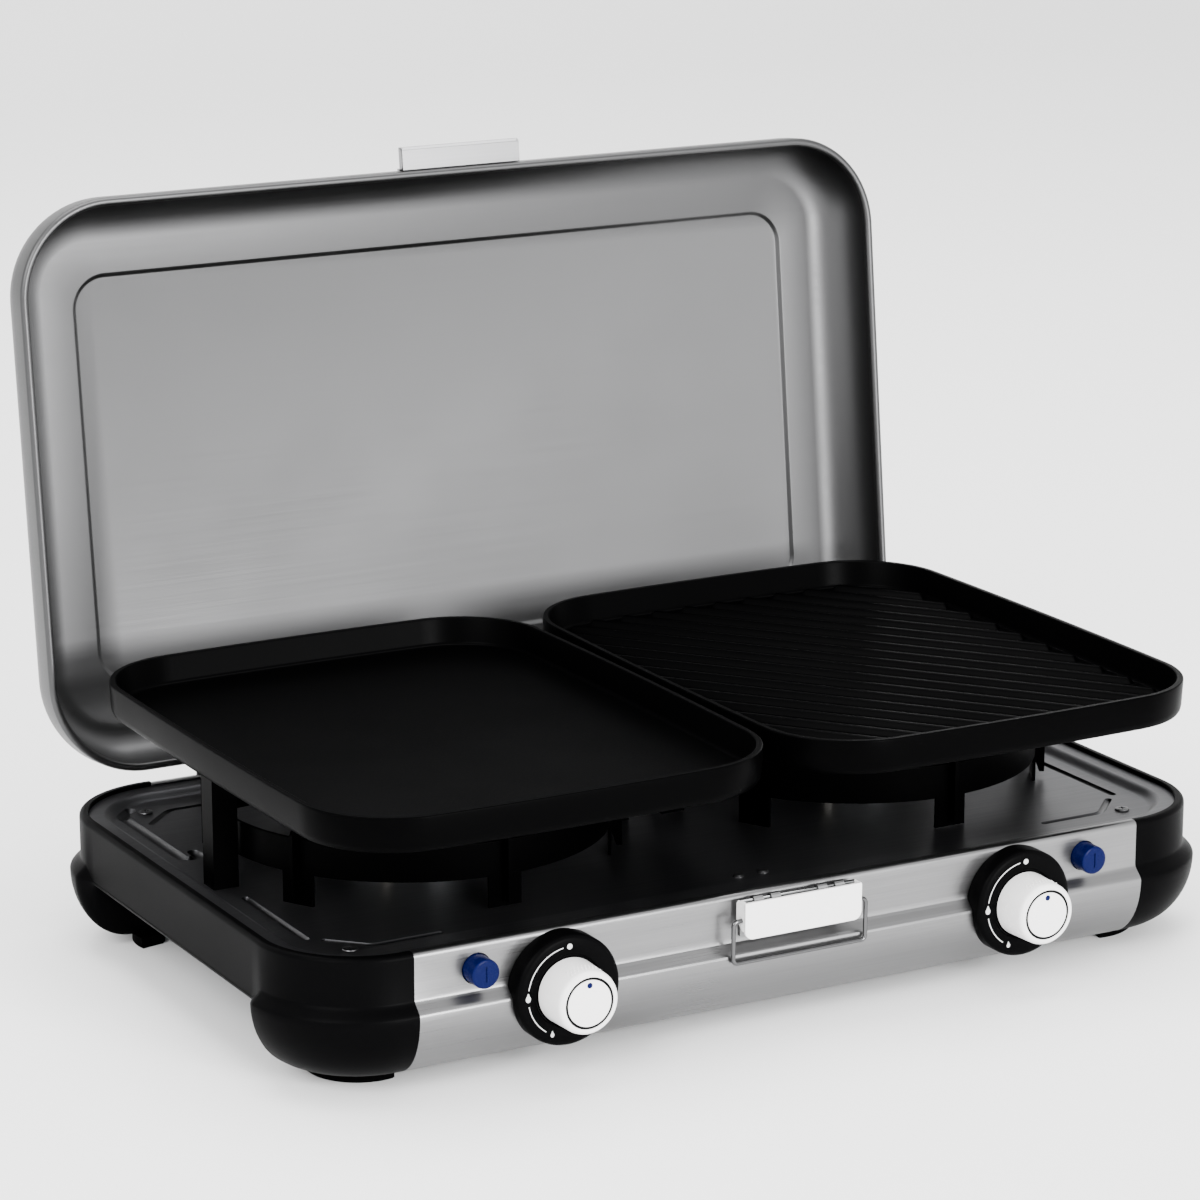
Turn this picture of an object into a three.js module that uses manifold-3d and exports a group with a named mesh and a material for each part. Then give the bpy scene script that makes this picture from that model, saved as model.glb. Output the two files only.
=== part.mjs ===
// Folding camp grill: a two-burner gas hob in a low case, with a hinged pressed lid and two
// lift-off cooking plates. Millimetres, +X to the right, +Y to the back, +Z up.
// The lid stands open and the plates are in place. The object rests on z = 0 and its
// bounding box is centred on x = 0 and y = 0.

import * as THREE from 'three';
import { mergeVertices } from 'three/addons/utils/BufferGeometryUtils.js';
import Module from 'manifold-3d';

const wasm = await Module();
wasm.setup();

// ---------------------------------------------------------------- driving dimensions

const GAP = 0.3;                 // clearance between pieces that touch
const HALF_LENGTH = 295;         // case, along X
const HALF_DEPTH = 175;          // case, along Y
const CASE_RADIUS = 59;          // case corners seen from above
const CASE_TOP = 80;             // top of the case rim
const BAND_BOTTOM = 46;          // lower edge of the case between its corner boots
const BOOT_BOTTOM = 7;           // underside of the corner boots
const BOOT_BULGE = 6.3;          // how far the boots stand out below the ledge
const LEDGE_HEIGHT = 8;          // height of the ledge between band and boot
const BOOT_SWEEP = 26;           // how far the boots curve in below
const BOOT_FLOOR = 48;           // inner end of the boots' floor
const BOOT_END = 108;            // |y| where the boots have faded out
const BOOT_START = 121;          // |y| where the boots are full
const RIM_WIDTH = 5.5;           // flat rim on top of the case
const CASE_WALL = 2.5;
const SHEET = 1;                 // pressed steel
const PANEL_HALF = 231.7;        // steel front and rear panels, along X

const BURNER_X = 145;
const HOB_EDGE = 77.2;           // hob height along its edge
const HOB_TOP = 73;              // hob height in the middle
const HOB_STEP = 21;             // from the case outline to the hob's lower middle

const KNOB_X = 146.2;
const KNOB_Z = 48.1;
const DIAL_FACE_Y = -188;
const KNOB_FACE_Y = -210;
const BUTTON_X = 195;
const BUTTON_Z = 65.2;
const BUTTON_RADIUS = 8.2;
const BUTTON_FACE_Y = -186;

const LID_HALF_LENGTH = 289.7;
const LID_HALF_DEPTH = 169.2;
const LID_RADIUS = 58;
const LID_RIM = 80.5;            // rim plane when the lid is shut
const LID_WALL = 13;             // straight part of the lid's side wall
const LID_FILLET = 27;
const LID_OPEN_ANGLE = 96.3;     // degrees from shut to the open stop
const LID_BEAD = 46;             // inset of the bead in the lid's flat panel
const HINGE_X = 180;
const HINGE_Y = 173.3;
const HINGE_Z = 82;
const BARREL_RADIUS = 2.2;
const HINGE_PIN_RADIUS = 1.1;

const LATCH_HALF = 37.3;
const LATCH_FACE_Y = -187.6;
const LATCH_PIN_Y = -180.5;
const LATCH_PIN_Z = 77;
const LATCH_TOP = 78.4;
const LATCH_BOTTOM = 57.5;
const BAIL_PIVOT_Y = -183.5;
const BAIL_PIVOT_Z = 67.5;
const BAIL_REACH = 24;
const BAIL_WIRE = 1.1;
const BAIL_HALF = 42.4;
const KEEPER_HALF = 39.6;
const KEEPER_REACH = 14;

const PLATE_X = 141.3;
const PLATE_Y = -14.2;
const PLATE_HALF_WIDTH = 137.1;
const PLATE_HALF_DEPTH = 176;
const PLATE_RADIUS = 56;
const PLATE_BOW = 1.5;           // how far the plates' sides bow out
const PLATE_TOP = 159;
const PLATE_BOTTOM = 138.7;
const PLATE_FLOOR = 142.8;
const RIB_PITCH = 17.2;
const RIB_ANGLE = 51.5;          // degrees from the X axis, towards the front right
const SUPPORT_RADIUS = 113;
const SUPPORT_LOW = 91;
const SUPPORT_HIGH = 111;
const FINGER_TOP = 116.5;
const OUTER_LEG_REACH = 128.3;   // from the burner's centre to the end leg's outer face
const INNER_LEG_REACH = 134;     // the same for the leg near the middle of the case

// ---------------------------------------------------------------- small tools

const deg = THREE.MathUtils.degToRad;

function closedGeometry(points, triangles) {
  const geometry = new THREE.BufferGeometry();
  geometry.setAttribute('position', new THREE.Float32BufferAttribute(points.flat(), 3));
  geometry.setIndex(triangles.flat());
  return signedVolume(geometry) < 0 ? flipped(geometry) : geometry;
}

function signedVolume(geometry) {
  const index = geometry.getIndex();
  const position = geometry.getAttribute('position');
  const [a, b, c] = [new THREE.Vector3(), new THREE.Vector3(), new THREE.Vector3()];
  let volume = 0;
  for (let i = 0; i < index.count; i += 3) {
    a.fromBufferAttribute(position, index.getX(i));
    b.fromBufferAttribute(position, index.getX(i + 1));
    c.fromBufferAttribute(position, index.getX(i + 2));
    volume += a.dot(b.cross(c)) / 6;
  }
  return volume;
}

function flipped(geometry) {
  const index = Array.from(geometry.getIndex().array);
  for (let i = 0; i < index.length; i += 3) {
    [index[i + 1], index[i + 2]] = [index[i + 2], index[i + 1]];
  }
  geometry.setIndex(index);
  return geometry;
}

function toSolid(geometry) {
  const bare = geometry.clone();
  bare.deleteAttribute('normal');
  bare.deleteAttribute('uv');
  const merged = mergeVertices(bare, 1e-4);
  return new wasm.Manifold(new wasm.Mesh({
    numProp: 3,
    vertProperties: new Float32Array(merged.getAttribute('position').array),
    triVerts: new Uint32Array(merged.getIndex().array),
  }));
}

function toGeometry(body) {
  const mesh = body.getMesh();
  const geometry = new THREE.BufferGeometry();
  geometry.setAttribute('position', new THREE.BufferAttribute(mesh.vertProperties, 3));
  geometry.setIndex(new THREE.BufferAttribute(mesh.triVerts, 1));
  return geometry;
}

function joined(geometries) {
  return toGeometry(geometries.map(toSolid).reduce((sum, next) => sum.add(next)));
}

function cut(geometry, tools) {
  return toGeometry(tools.map(toSolid).reduce((rest, tool) => rest.subtract(tool), toSolid(geometry)));
}

function block(x0, x1, y0, y1, z0, z1) {
  const geometry = new THREE.BoxGeometry(x1 - x0, y1 - y0, z1 - z0);
  return geometry.translate((x0 + x1) / 2, (y0 + y1) / 2, (z0 + z1) / 2);
}

function rodX(radius, x0, x1, y, z, sides = 20) {
  const geometry = new THREE.CylinderGeometry(radius, radius, x1 - x0, sides);
  return geometry.rotateZ(Math.PI / 2).translate((x0 + x1) / 2, y, z);
}

function rodY(radius, y0, y1, x, z, sides = 24) {
  const geometry = new THREE.CylinderGeometry(radius, radius, y1 - y0, sides);
  return geometry.translate(x, (y0 + y1) / 2, z);
}

function rodZ(radius, z0, z1, x, y, sides = 24) {
  const geometry = new THREE.CylinderGeometry(radius, radius, z1 - z0, sides);
  return geometry.rotateX(Math.PI / 2).translate(x, y, (z0 + z1) / 2);
}

// A turned piece. The profile is [radius, distance along the axis] and closes on itself or
// runs from axis to axis. The axis is +Z, or -Y (towards the front) for turnedY.
function turned(profile, sides = 32) {
  const points = profile.map(([radius, along]) => new THREE.Vector2(radius, along));
  const geometry = new THREE.LatheGeometry(points, sides).rotateX(Math.PI / 2);
  geometry.deleteAttribute('normal');
  geometry.deleteAttribute('uv');
  const merged = withoutSlivers(mergeVertices(geometry, 1e-4));
  return signedVolume(merged) < 0 ? flipped(merged) : merged;
}

function turnedY(profile, x, z, sides = 32) {
  return turned(profile, sides).rotateX(Math.PI / 2).translate(x, 0, z);
}

function withoutSlivers(geometry) {
  const index = geometry.getIndex();
  const kept = [];
  for (let i = 0; i < index.count; i += 3) {
    const [a, b, c] = [index.getX(i), index.getX(i + 1), index.getX(i + 2)];
    if (a !== b && b !== c && a !== c) kept.push(a, b, c);
  }
  geometry.setIndex(kept);
  return geometry;
}

function closeProfile(profile) {
  return [...profile, profile[0]];
}

// A flat outline in (y, z), drawn out along X.
function alongX(outline, x0, x1) {
  const shape = new THREE.Shape(outline.map(([y, z]) => new THREE.Vector2(y, z)));
  const geometry = new THREE.ExtrudeGeometry(shape, { depth: x1 - x0, bevelEnabled: false });
  const turn = new THREE.Matrix4().makeBasis(
    new THREE.Vector3(0, 1, 0), new THREE.Vector3(0, 0, 1), new THREE.Vector3(1, 0, 0));
  return geometry.applyMatrix4(turn).translate(x0, 0, 0);
}

// A flat outline in (x, z), drawn out along Y.
function alongY(outline, y0, y1) {
  const shape = new THREE.Shape(outline.map(([x, z]) => new THREE.Vector2(x, z)));
  const geometry = new THREE.ExtrudeGeometry(shape, { depth: y1 - y0, bevelEnabled: false });
  return geometry.rotateX(Math.PI / 2).translate(0, y1, 0);
}

// Points round a rectangle with round corners, grown outwards by offset. The bow pushes
// the middle of each side out.
function roundedOutline({ halfX, halfY, radius, steps = 7, bow = 0 }, offset) {
  const r = radius + offset;
  const points = [];
  for (const [sx, sy, start] of [[1, -1, -90], [1, 1, 0], [-1, 1, 90], [-1, -1, 180]]) {
    const cx = sx * (halfX - radius);
    const cy = sy * (halfY - radius);
    for (let i = 0; i <= steps; i += 1) {
      const angle = deg(start + (90 * i) / steps);
      points.push([cx + r * Math.cos(angle), cy + r * Math.sin(angle)]);
    }
    if (bow > 0) points.push(...bowedSide(sx, sy, halfX + offset, halfY + offset, radius, bow));
  }
  return points;
}

// The side that follows the corner (sx, sy), counter-clockwise, as a shallow bow.
function bowedSide(sx, sy, halfX, halfY, radius, bow) {
  const runsAlongY = sx === sy * -1;
  const side = [];
  for (let i = 1; i < 4; i += 1) {
    const t = -1 + i / 2;
    const out = bow * (1 - t * t);
    if (runsAlongY) side.push([sx * (halfX + out), sx * t * (halfY - radius)]);
    else side.push([-sy * t * (halfX - radius), sy * (halfY + out)]);
  }
  return side;
}

// A body of stacked outlines: stations are [offset, z]. Open at neither end, or a ring when
// the stations close on themselves.
function stacked(outline, stations, ring = false) {
  const rings = stations.map(([offset, z]) => roundedOutline(outline, offset).map(([x, y]) => [x, y, z]));
  return skinned(rings, ring);
}

// Joins equal loops of points by a skin. The first and last loops are flat and get lids,
// unless the row of loops closes on itself.
function skinned(loops, closed = false) {
  const count = loops[0].length;
  const triangles = [];
  const rows = closed ? loops.length : loops.length - 1;
  for (let row = 0; row < rows; row += 1) {
    const next = (row + 1) % loops.length;
    for (let i = 0; i < count; i += 1) {
      const j = (i + 1) % count;
      const [a, b, c, d] = [row * count + i, row * count + j, next * count + j, next * count + i];
      triangles.push([a, b, c], [a, c, d]);
    }
  }
  if (!closed) {
    triangles.push(...lidFor(loops[0], 0, true));
    triangles.push(...lidFor(loops.at(-1), (loops.length - 1) * count, false));
  }
  return closedGeometry(loops.flat(), triangles);
}

// Triangles over a flat loop, wound with the loop or against it.
function lidFor(loop, start, against) {
  const spread = [0, 1, 2].map((axis) => {
    const values = loop.map((point) => point[axis]);
    return Math.max(...values) - Math.min(...values);
  });
  const flat = spread.indexOf(Math.min(...spread));
  const [u, v] = [(flat + 1) % 3, (flat + 2) % 3];
  const contour = loop.map((point) => new THREE.Vector2(point[u], point[v]));
  const faces = THREE.ShapeUtils.triangulateShape(contour, []);
  const covered = faces.reduce((sum, face) => sum + THREE.ShapeUtils.area(face.map((i) => contour[i])), 0);
  const withLoop = covered * THREE.ShapeUtils.area(contour) > 0;
  return faces.map(([i, j, k]) => {
    const face = withLoop === against ? [i, k, j] : [i, j, k];
    return face.map((n) => start + n);
  });
}

function arcPoints(cx, cy, radiusX, radiusY, from, to, steps) {
  return Array.from({ length: steps + 1 }, (_, i) => {
    const angle = deg(from + ((to - from) * i) / steps);
    return [cx + radiusX * Math.cos(angle), cy + radiusY * Math.sin(angle)];
  });
}

// A pipe or wire along straight runs with round bends.
function bentRod(route, bend, radius, sides, bore = 0) {
  const path = new THREE.CurvePath();
  const corners = route.map((point) => new THREE.Vector3(...point));
  let from = corners[0];
  for (let i = 1; i < corners.length - 1; i += 1) {
    const enter = corners[i].clone().add(corners[i - 1].clone().sub(corners[i]).setLength(bend));
    const leave = corners[i].clone().add(corners[i + 1].clone().sub(corners[i]).setLength(bend));
    path.add(new THREE.LineCurve3(from, enter));
    path.add(new THREE.QuadraticBezierCurve3(enter, corners[i], leave));
    from = leave;
  }
  path.add(new THREE.LineCurve3(from, corners.at(-1)));
  const loops = [];
  for (const curve of path.curves) {
    const pieces = curve.isLineCurve3 ? 1 : 4;
    for (let i = loops.length === 0 ? 0 : 1; i <= pieces; i += 1) loops.push(curve.getPoint(i / pieces));
  }
  return pipeAlong(loops, radius, sides, bore);
}

function pipeAlong(points, radius, sides, bore) {
  const tangents = points.map((point, i) => {
    const ahead = points[Math.min(i + 1, points.length - 1)];
    const behind = points[Math.max(i - 1, 0)];
    return ahead.clone().sub(behind).normalize();
  });
  let normal = new THREE.Vector3(0.31, 0.52, 0.8).cross(tangents[0]).normalize();
  const frames = tangents.map((tangent) => {
    normal = normal.clone().addScaledVector(tangent, -normal.dot(tangent)).normalize();
    return [normal, tangent.clone().cross(normal)];
  });
  const circle = (index, r) => Array.from({ length: sides }, (_, i) => {
    const angle = (2 * Math.PI * i) / sides;
    const [n, b] = frames[index];
    const point = points[index].clone().addScaledVector(n, r * Math.cos(angle));
    return point.addScaledVector(b, r * Math.sin(angle)).toArray();
  });
  const outer = points.map((_, i) => circle(i, radius));
  if (bore === 0) return capped(outer, points);
  const inner = points.map((_, i) => circle(i, bore)).reverse();
  return skinned([...outer, ...inner], true);
}

// A skin over loops with a fan of triangles on each end.
function capped(loops, centres) {
  const count = loops[0].length;
  const points = [...loops.flat(), centres[0].toArray(), centres.at(-1).toArray()];
  const triangles = [];
  for (let row = 0; row < loops.length - 1; row += 1) {
    for (let i = 0; i < count; i += 1) {
      const j = (i + 1) % count;
      const [a, b] = [row * count + i, row * count + j];
      triangles.push([a, b, b + count], [a, b + count, a + count]);
    }
  }
  const last = (loops.length - 1) * count;
  for (let i = 0; i < count; i += 1) {
    const j = (i + 1) % count;
    triangles.push([points.length - 2, j, i], [points.length - 1, last + i, last + j]);
  }
  return closedGeometry(points, triangles);
}

// ---------------------------------------------------------------- looks

const LOOKS = {
  brushedSteel: { color: 0xa6a7a9, roughness: 0.36, metalness: 1 },
  hobSteel: { color: 0x8e9094, roughness: 0.3, metalness: 1 },
  lidSteel: { color: 0x97989a, roughness: 0.42, metalness: 1 },
  galvanised: { color: 0x7c8084, roughness: 0.5, metalness: 1 },
  blackPlastic: { color: 0x17181a, roughness: 0.55, metalness: 0 },
  rubber: { color: 0x101011, roughness: 0.85, metalness: 0 },
  whitePlastic: { color: 0xf1f1f2, roughness: 0.3, metalness: 0 },
  bluePlastic: { color: 0x1737a8, roughness: 0.35, metalness: 0 },
  greyPlastic: { color: 0xc9cacc, roughness: 0.45, metalness: 0 },
  castBlack: { color: 0x0c0c0d, roughness: 0.45, metalness: 0.1 },
  enamel: { color: 0x121214, roughness: 0.3, metalness: 0.1 },
  aluminium: { color: 0xb7b9bc, roughness: 0.4, metalness: 1 },
  brass: { color: 0xb08d4a, roughness: 0.3, metalness: 1 },
  chrome: { color: 0xd6d8da, roughness: 0.12, metalness: 1 },
  ceramic: { color: 0xe9e4da, roughness: 0.4, metalness: 0 },
};

function part(name, geometry, look) {
  const mesh = new THREE.Mesh(geometry, new THREE.MeshStandardMaterial(LOOKS[look]));
  mesh.name = name;
  return mesh;
}

// ---------------------------------------------------------------- case

const CASE = { halfX: HALF_LENGTH, halfY: HALF_DEPTH, radius: CASE_RADIUS };

// The wall's cross-section as [offset outwards, z]. boot runs from 0, a plain band, to 1,
// a full boot below a ledge.
function wallSection(boot, { wall, rim, floor, top = CASE_TOP }) {
  const drop = (BAND_BOTTOM - BOOT_BOTTOM) * boot;
  const ledge = [[0, 1], [0.3, 0.62], [0.9, 0.3]].map(([out, up]) => [
    out * BOOT_BULGE * boot, BAND_BOTTOM + up * LEDGE_HEIGHT * boot]);
  const sweep = BOOT_BULGE + BOOT_SWEEP;
  const outer = arcPoints(-BOOT_SWEEP * boot, BAND_BOTTOM, sweep * boot, -drop, 0, 90, 6);
  const inner = arcPoints(0, 0, 1, 1, 90, 0, 6).map(([c, s]) => [
    boot * (sweep * c - BOOT_SWEEP) - wall * (c + (1 - boot) * (1 - c)),
    BAND_BOTTOM - drop * s + wall * s]);
  const end = -floor * boot - wall * (1 - boot);
  const low = BAND_BOTTOM - drop;
  return [
    [-rim, top], [-3, top], [-0.9, top - 0.9], [0, top - 3],
    ...ledge, ...outer, [end, low], [end, low + wall], ...inner,
    ...ledge.toReversed().map(([out, z]) => [out - wall, z]),
    [-wall, top - wall], [-rim, top - wall],
  ];
}

function bootAmount(y) {
  const t = THREE.MathUtils.clamp((Math.abs(y) - BOOT_END) / (BOOT_START - BOOT_END), 0, 1);
  return 0.06 + 0.94 * t * t * (3 - 2 * t);
}

// One end of the case: the wall's section follows the outline from the front panel round
// two corners to the rear panel. side is -1 for the left end and 1 for the right end.
function endCasing(side) {
  const cornerX = HALF_LENGTH - CASE_RADIUS;
  const cornerY = HALF_DEPTH - CASE_RADIUS;
  const stations = [{ x: PANEL_HALF + GAP, y: -HALF_DEPTH, nx: 0, ny: -1 }];
  const start = THREE.MathUtils.radToDeg(Math.asin((BOOT_START - cornerY) / CASE_RADIUS));
  const turns = [0, start, 2.2 * start, ...[2, 3, 4, 5, 6, 7].map((i) => (i * 90) / 7)];
  const fades = [0.6, 0.8, 1].map((t) => THREE.MathUtils.lerp(BOOT_START, BOOT_END, t));
  for (const turn of turns.toReversed()) stations.push(cornerStation(cornerX, -cornerY, -turn));
  for (const y of fades) stations.push({ x: HALF_LENGTH, y: -y, nx: 1, ny: 0 });
  for (const y of fades.toReversed()) stations.push({ x: HALF_LENGTH, y, nx: 1, ny: 0 });
  for (const turn of turns) stations.push(cornerStation(cornerX, cornerY, turn));
  stations.push({ x: PANEL_HALF + GAP, y: HALF_DEPTH, nx: 0, ny: 1 });
  const loops = stations.map(({ x, y, nx, ny }) => {
    const section = wallSection(bootAmount(y), { wall: CASE_WALL, rim: RIM_WIDTH, floor: BOOT_FLOOR });
    return section.map(([out, z]) => [side * (x + nx * out), y + ny * out, z]);
  });
  return skinned(loops);
}

function cornerStation(cx, cy, angle) {
  const [nx, ny] = [Math.cos(deg(angle)), Math.sin(deg(angle))];
  return { x: cx + CASE_RADIUS * nx, y: cy + CASE_RADIUS * ny, nx, ny };
}

function panelOutline(top) {
  return wallSection(1, { wall: SHEET, rim: RIM_WIDTH, floor: 32, top });
}

function frontPanel() {
  const outline = panelOutline(CASE_TOP).map(([out, z]) => [-HALF_DEPTH - out, z]);
  const sheet = alongX(outline, -PANEL_HALF, PANEL_HALF);
  const holes = [-1, 1].flatMap((side) => [
    rodY(5, -190, -165, side * KNOB_X, KNOB_Z, 16),
    rodY(BUTTON_RADIUS + 0.6, -190, -165, side * BUTTON_X, BUTTON_Z, 20),
  ]);
  return cut(sheet, holes);
}

function rearPanel() {
  const outline = panelOutline(CASE_TOP - 0.8).map(([out, z]) => [HALF_DEPTH + out, z]);
  const sheet = alongX(outline, -PANEL_HALF, PANEL_HALF);
  return cut(sheet, [rodY(7.4, 160, 190, INLET_X, INLET_Z)]);
}

// Folded bottom tray: a floor with high ends and low front and rear lips.
function baseTray() {
  const [x, y, low] = [236, 138, 11.5];
  const floor = [block(-x, x, -y, y, low, low + SHEET)];
  const ends = [-1, 1].map((side) => {
    const inner = side * (x - SHEET);
    return block(Math.min(inner, side * x), Math.max(inner, side * x), -96, 96, low, 62);
  });
  const lips = [-1, 1].map((side) => {
    const inner = side * (y - SHEET);
    return block(-225, 225, Math.min(inner, side * y), Math.max(inner, side * y), low, 22);
  });
  return joined([...floor, ...ends, ...lips]);
}

// Rubber pad under a boot: part of a ring about the corner's centre.
function foot(sideX, sideY) {
  const middle = 45;
  const half = 57;
  const shape = new THREE.Shape();
  shape.absarc(0, 0, 30, deg(middle - half), deg(middle + half), false);
  shape.absarc(0, 0, 14, deg(middle + half), deg(middle - half), true);
  shape.closePath();
  const pad = new THREE.ExtrudeGeometry(shape, {
    depth: BOOT_BOTTOM - GAP - 1, bevelEnabled: true, bevelThickness: 0.5, bevelSize: 0.8,
    bevelSegments: 1, curveSegments: 7,
  });
  pad.translate(0, 0, 0.5);
  if (sideX * sideY < 0) pad.rotateZ(Math.PI / 2);
  if (sideY < 0) pad.rotateZ(Math.PI);
  return pad.translate(sideX * (HALF_LENGTH - CASE_RADIUS), sideY * (HALF_DEPTH - CASE_RADIUS), 0);
}

function hobPlate() {
  const stations = [
    [-HOB_STEP - 0.3, HOB_TOP - SHEET], [-HOB_STEP + 2.3, HOB_TOP - SHEET + 0.7],
    [-HOB_STEP + 6.6, HOB_EDGE - SHEET], [-4, HOB_EDGE - SHEET], [-4, HOB_EDGE],
    [-HOB_STEP + 7, HOB_EDGE], [-HOB_STEP + 2, HOB_TOP + 0.7], [-HOB_STEP, HOB_TOP],
  ];
  const holes = [-1, 1].flatMap((side) => [
    rodZ(41, 60, 90, side * BURNER_X, 0, 30),
    rodZ(3.6, 60, 90, side * BURNER_X + ELECTRODE[0], ELECTRODE[1], 10),
    ...[-1, 1].map((back) => rodZ(2.2, 60, 90, side * SCREW_X, back * SCREW_Y, 8)),
  ]);
  return cut(stacked({ ...CASE, steps: 6 }, stations), holes);
}

const SCREW_X = 250;
const SCREW_Y = 136;

function hobScrew(sideX, sideY) {
  const low = HOB_TOP + GAP;
  const profile = [
    [0, low - 12], [1.7, low - 12], [1.7, low], [4.2, low], [4.1, low + 0.4],
    [3.6, low + 0.9], [1.6, low + 1.1], [1.4, low + 0.4], [0, low + 0.4],
  ];
  return turned(profile, 12).translate(sideX * SCREW_X, sideY * SCREW_Y, 0);
}

// ---------------------------------------------------------------- burners and gas train

const ELECTRODE = [-33, -33];
const INLET_X = 214;
const INLET_Z = 64;
const VALVE_BACK = -124;

function burnerBody(side) {
  const profile = closeProfile([
    [11, 60], [13.5, 60], [13.5, 65], [36, 73], [38, 76], [38, 88], [33.5, 88], [33.5, 76], [11, 68],
  ]);
  return turned(profile, 26).translate(side * BURNER_X, 0, 0);
}

function burnerCap(side) {
  const low = 88 + GAP;
  const profile = [[0, low], [39, low], [39.5, low + 1.2], [38.4, low + 3], [30, low + 4.6], [0, low + 5.2]];
  return turned(profile, 26).translate(side * BURNER_X, 0, 0);
}

function mixingTube(side) {
  const x = side * BURNER_X;
  const valve = side * KNOB_X;
  return bentRod([[valve, -115, KNOB_Z], [x, 0, KNOB_Z], [x, 0, 65]], 13, 10.2, 12, 9.2);
}

function injector(side) {
  const start = -VALVE_BACK - GAP;
  const profile = [
    [0, start], [4.6, start], [4.6, start - 5], [2.8, start - 6], [2.4, start - 12], [0, start - 12],
  ];
  return turnedY(profile, side * KNOB_X, KNOB_Z, 18);
}

function gasValve(side) {
  const x = side * KNOB_X;
  const body = block(x - 12, x + 12, -150, VALVE_BACK, KNOB_Z - 12, KNOB_Z + 12);
  const boss = rodY(9, -164, -149, x, KNOB_Z);
  return cut(joined([body, boss]), [rodY(3.5, -170, -138, x, KNOB_Z)]);
}

function valveStem(side) {
  return rodY(3, -200, -139, side * KNOB_X, KNOB_Z, 20);
}

// One pipe feeds both valves from below and runs back to the inlet.
function gasManifold() {
  const low = KNOB_Z - 12 - GAP - 4;
  return bentRod([
    [-160, -137, low], [INLET_X, -137, low], [INLET_X, 110, low],
    [INLET_X, 110, INLET_Z], [INLET_X, 150, INLET_Z],
  ], 14, 4, 10);
}

// Inlet through the rear panel: a flange, a union nut and a plain spigot for the gas hose.
function gasInlet() {
  const profile = [
    [0, -150.5], [5, -150.5], [5, -160], [11, -160], [11, -164], [6.8, -164], [6.8, -176],
    [9.5, -176], [9.5, -184], [5, -184], [5, -204], [4, -205.2], [2.4, -205.2], [2.4, -186],
    [0, -186],
  ];
  return turnedY(profile, INLET_X, INLET_Z, 30);
}

function igniterBody(side) {
  const profile = [
    [0, 134], [3, 134], [3, 144], [6, 144], [6, 161.6], [10.4, 161.6], [10.4, 173.5],
    [8.7, 173.5], [8.7, 163.1], [0, 163.1],
  ];
  return turnedY(profile, side * BUTTON_X, BUTTON_Z, 18);
}

function igniterButton(side) {
  const front = -BUTTON_FACE_Y;
  const profile = [
    [0, 169], [BUTTON_RADIUS, 169], [BUTTON_RADIUS, front - 0.8], [BUTTON_RADIUS - 0.7, front],
    [0, front],
  ];
  const mark = block(side * BUTTON_X - 0.6, side * BUTTON_X + 0.6, -front - 1, -front + 0.5,
    BUTTON_Z - 4.2, BUTTON_Z + 4.2);
  return cut(turnedY(profile, side * BUTTON_X, BUTTON_Z, 28), [mark]);
}

function sparkElectrode(side) {
  const [dx, dy] = ELECTRODE;
  const x = side * BURNER_X + dx;
  const ceramic = turned([[0, 58], [3, 58], [3, 81], [1.6, 84], [0, 84]], 16).translate(x, dy, 0);
  const tip = [x + 4, dy + 4, 91];
  const wire = bentRod([[x, dy, 82], [x, dy, 90], tip], 2, 0.9, 8);
  return joined([ceramic, wire]);
}

// ---------------------------------------------------------------- controls

function dialBezel(side) {
  const face = -DIAL_FACE_Y;
  const profile = closeProfile([
    [5.5, 170], [31, 170], [31, face - 3], [29.6, face - 0.6], [28, face], [20.2, face],
    [19.6, face - 1.2], [5.5, face - 1.2],
  ]);
  const disc = turnedY(profile, side * KNOB_X, KNOB_Z, 36);
  const skin = panelOutline(CASE_TOP).slice(0, 14).map(([out, z]) => [-HALF_DEPTH - out - GAP, z]);
  const behind = [...skin, [-140, 0], [-140, 90], [-HALF_DEPTH + RIM_WIDTH, 90]];
  return cut(disc, [alongX(behind, side * KNOB_X - 40, side * KNOB_X + 40)]);
}

// White knob with a domed edge, a ring groove in its face and a blind bore for the stem.
function knob(side) {
  const back = -DIAL_FACE_Y - 1.2 + GAP;
  const front = -KNOB_FACE_Y;
  const profile = [
    [0, back + 14], [3.4, back + 14], [3.4, back], [18.6, back], [18.4, back + 3],
    [17.6, front - 1.6], [16.6, front - 0.3], [15.6, front], [14.5, front], [14.3, front - 0.8],
    [13.6, front - 0.8], [13.4, front], [0, front],
  ];
  return turnedY(profile, side * KNOB_X, KNOB_Z, 30);
}

// ---------------------------------------------------------------- latch on the front panel

// A strip on the panel with two lugs that curl forward round the latch pin.
function latchBracket() {
  const back = -HALF_DEPTH - GAP;
  const strip = block(-34, 34, back - 1.2, back, 56, 76);
  const lugs = [-26, -15, 15, 26].map((x) => [x - 3, x + 3]).flatMap(([x0, x1]) => [
    rodX(2.8, x0, x1, LATCH_PIN_Y, LATCH_PIN_Z, 14),
    alongX([[back, 70], [back, 76], [LATCH_PIN_Y, LATCH_PIN_Z + 2.7], [LATCH_PIN_Y, LATCH_PIN_Z],
      [back - 1.2, 70]], x0, x1),
  ]);
  return cut(joined([strip, ...lugs]), [rodX(1.8, -40, 40, LATCH_PIN_Y, LATCH_PIN_Z, 10)]);
}

function latchPin() {
  return rodX(1.5, -36.9, 36.9, LATCH_PIN_Y, LATCH_PIN_Z, 16);
}

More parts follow.
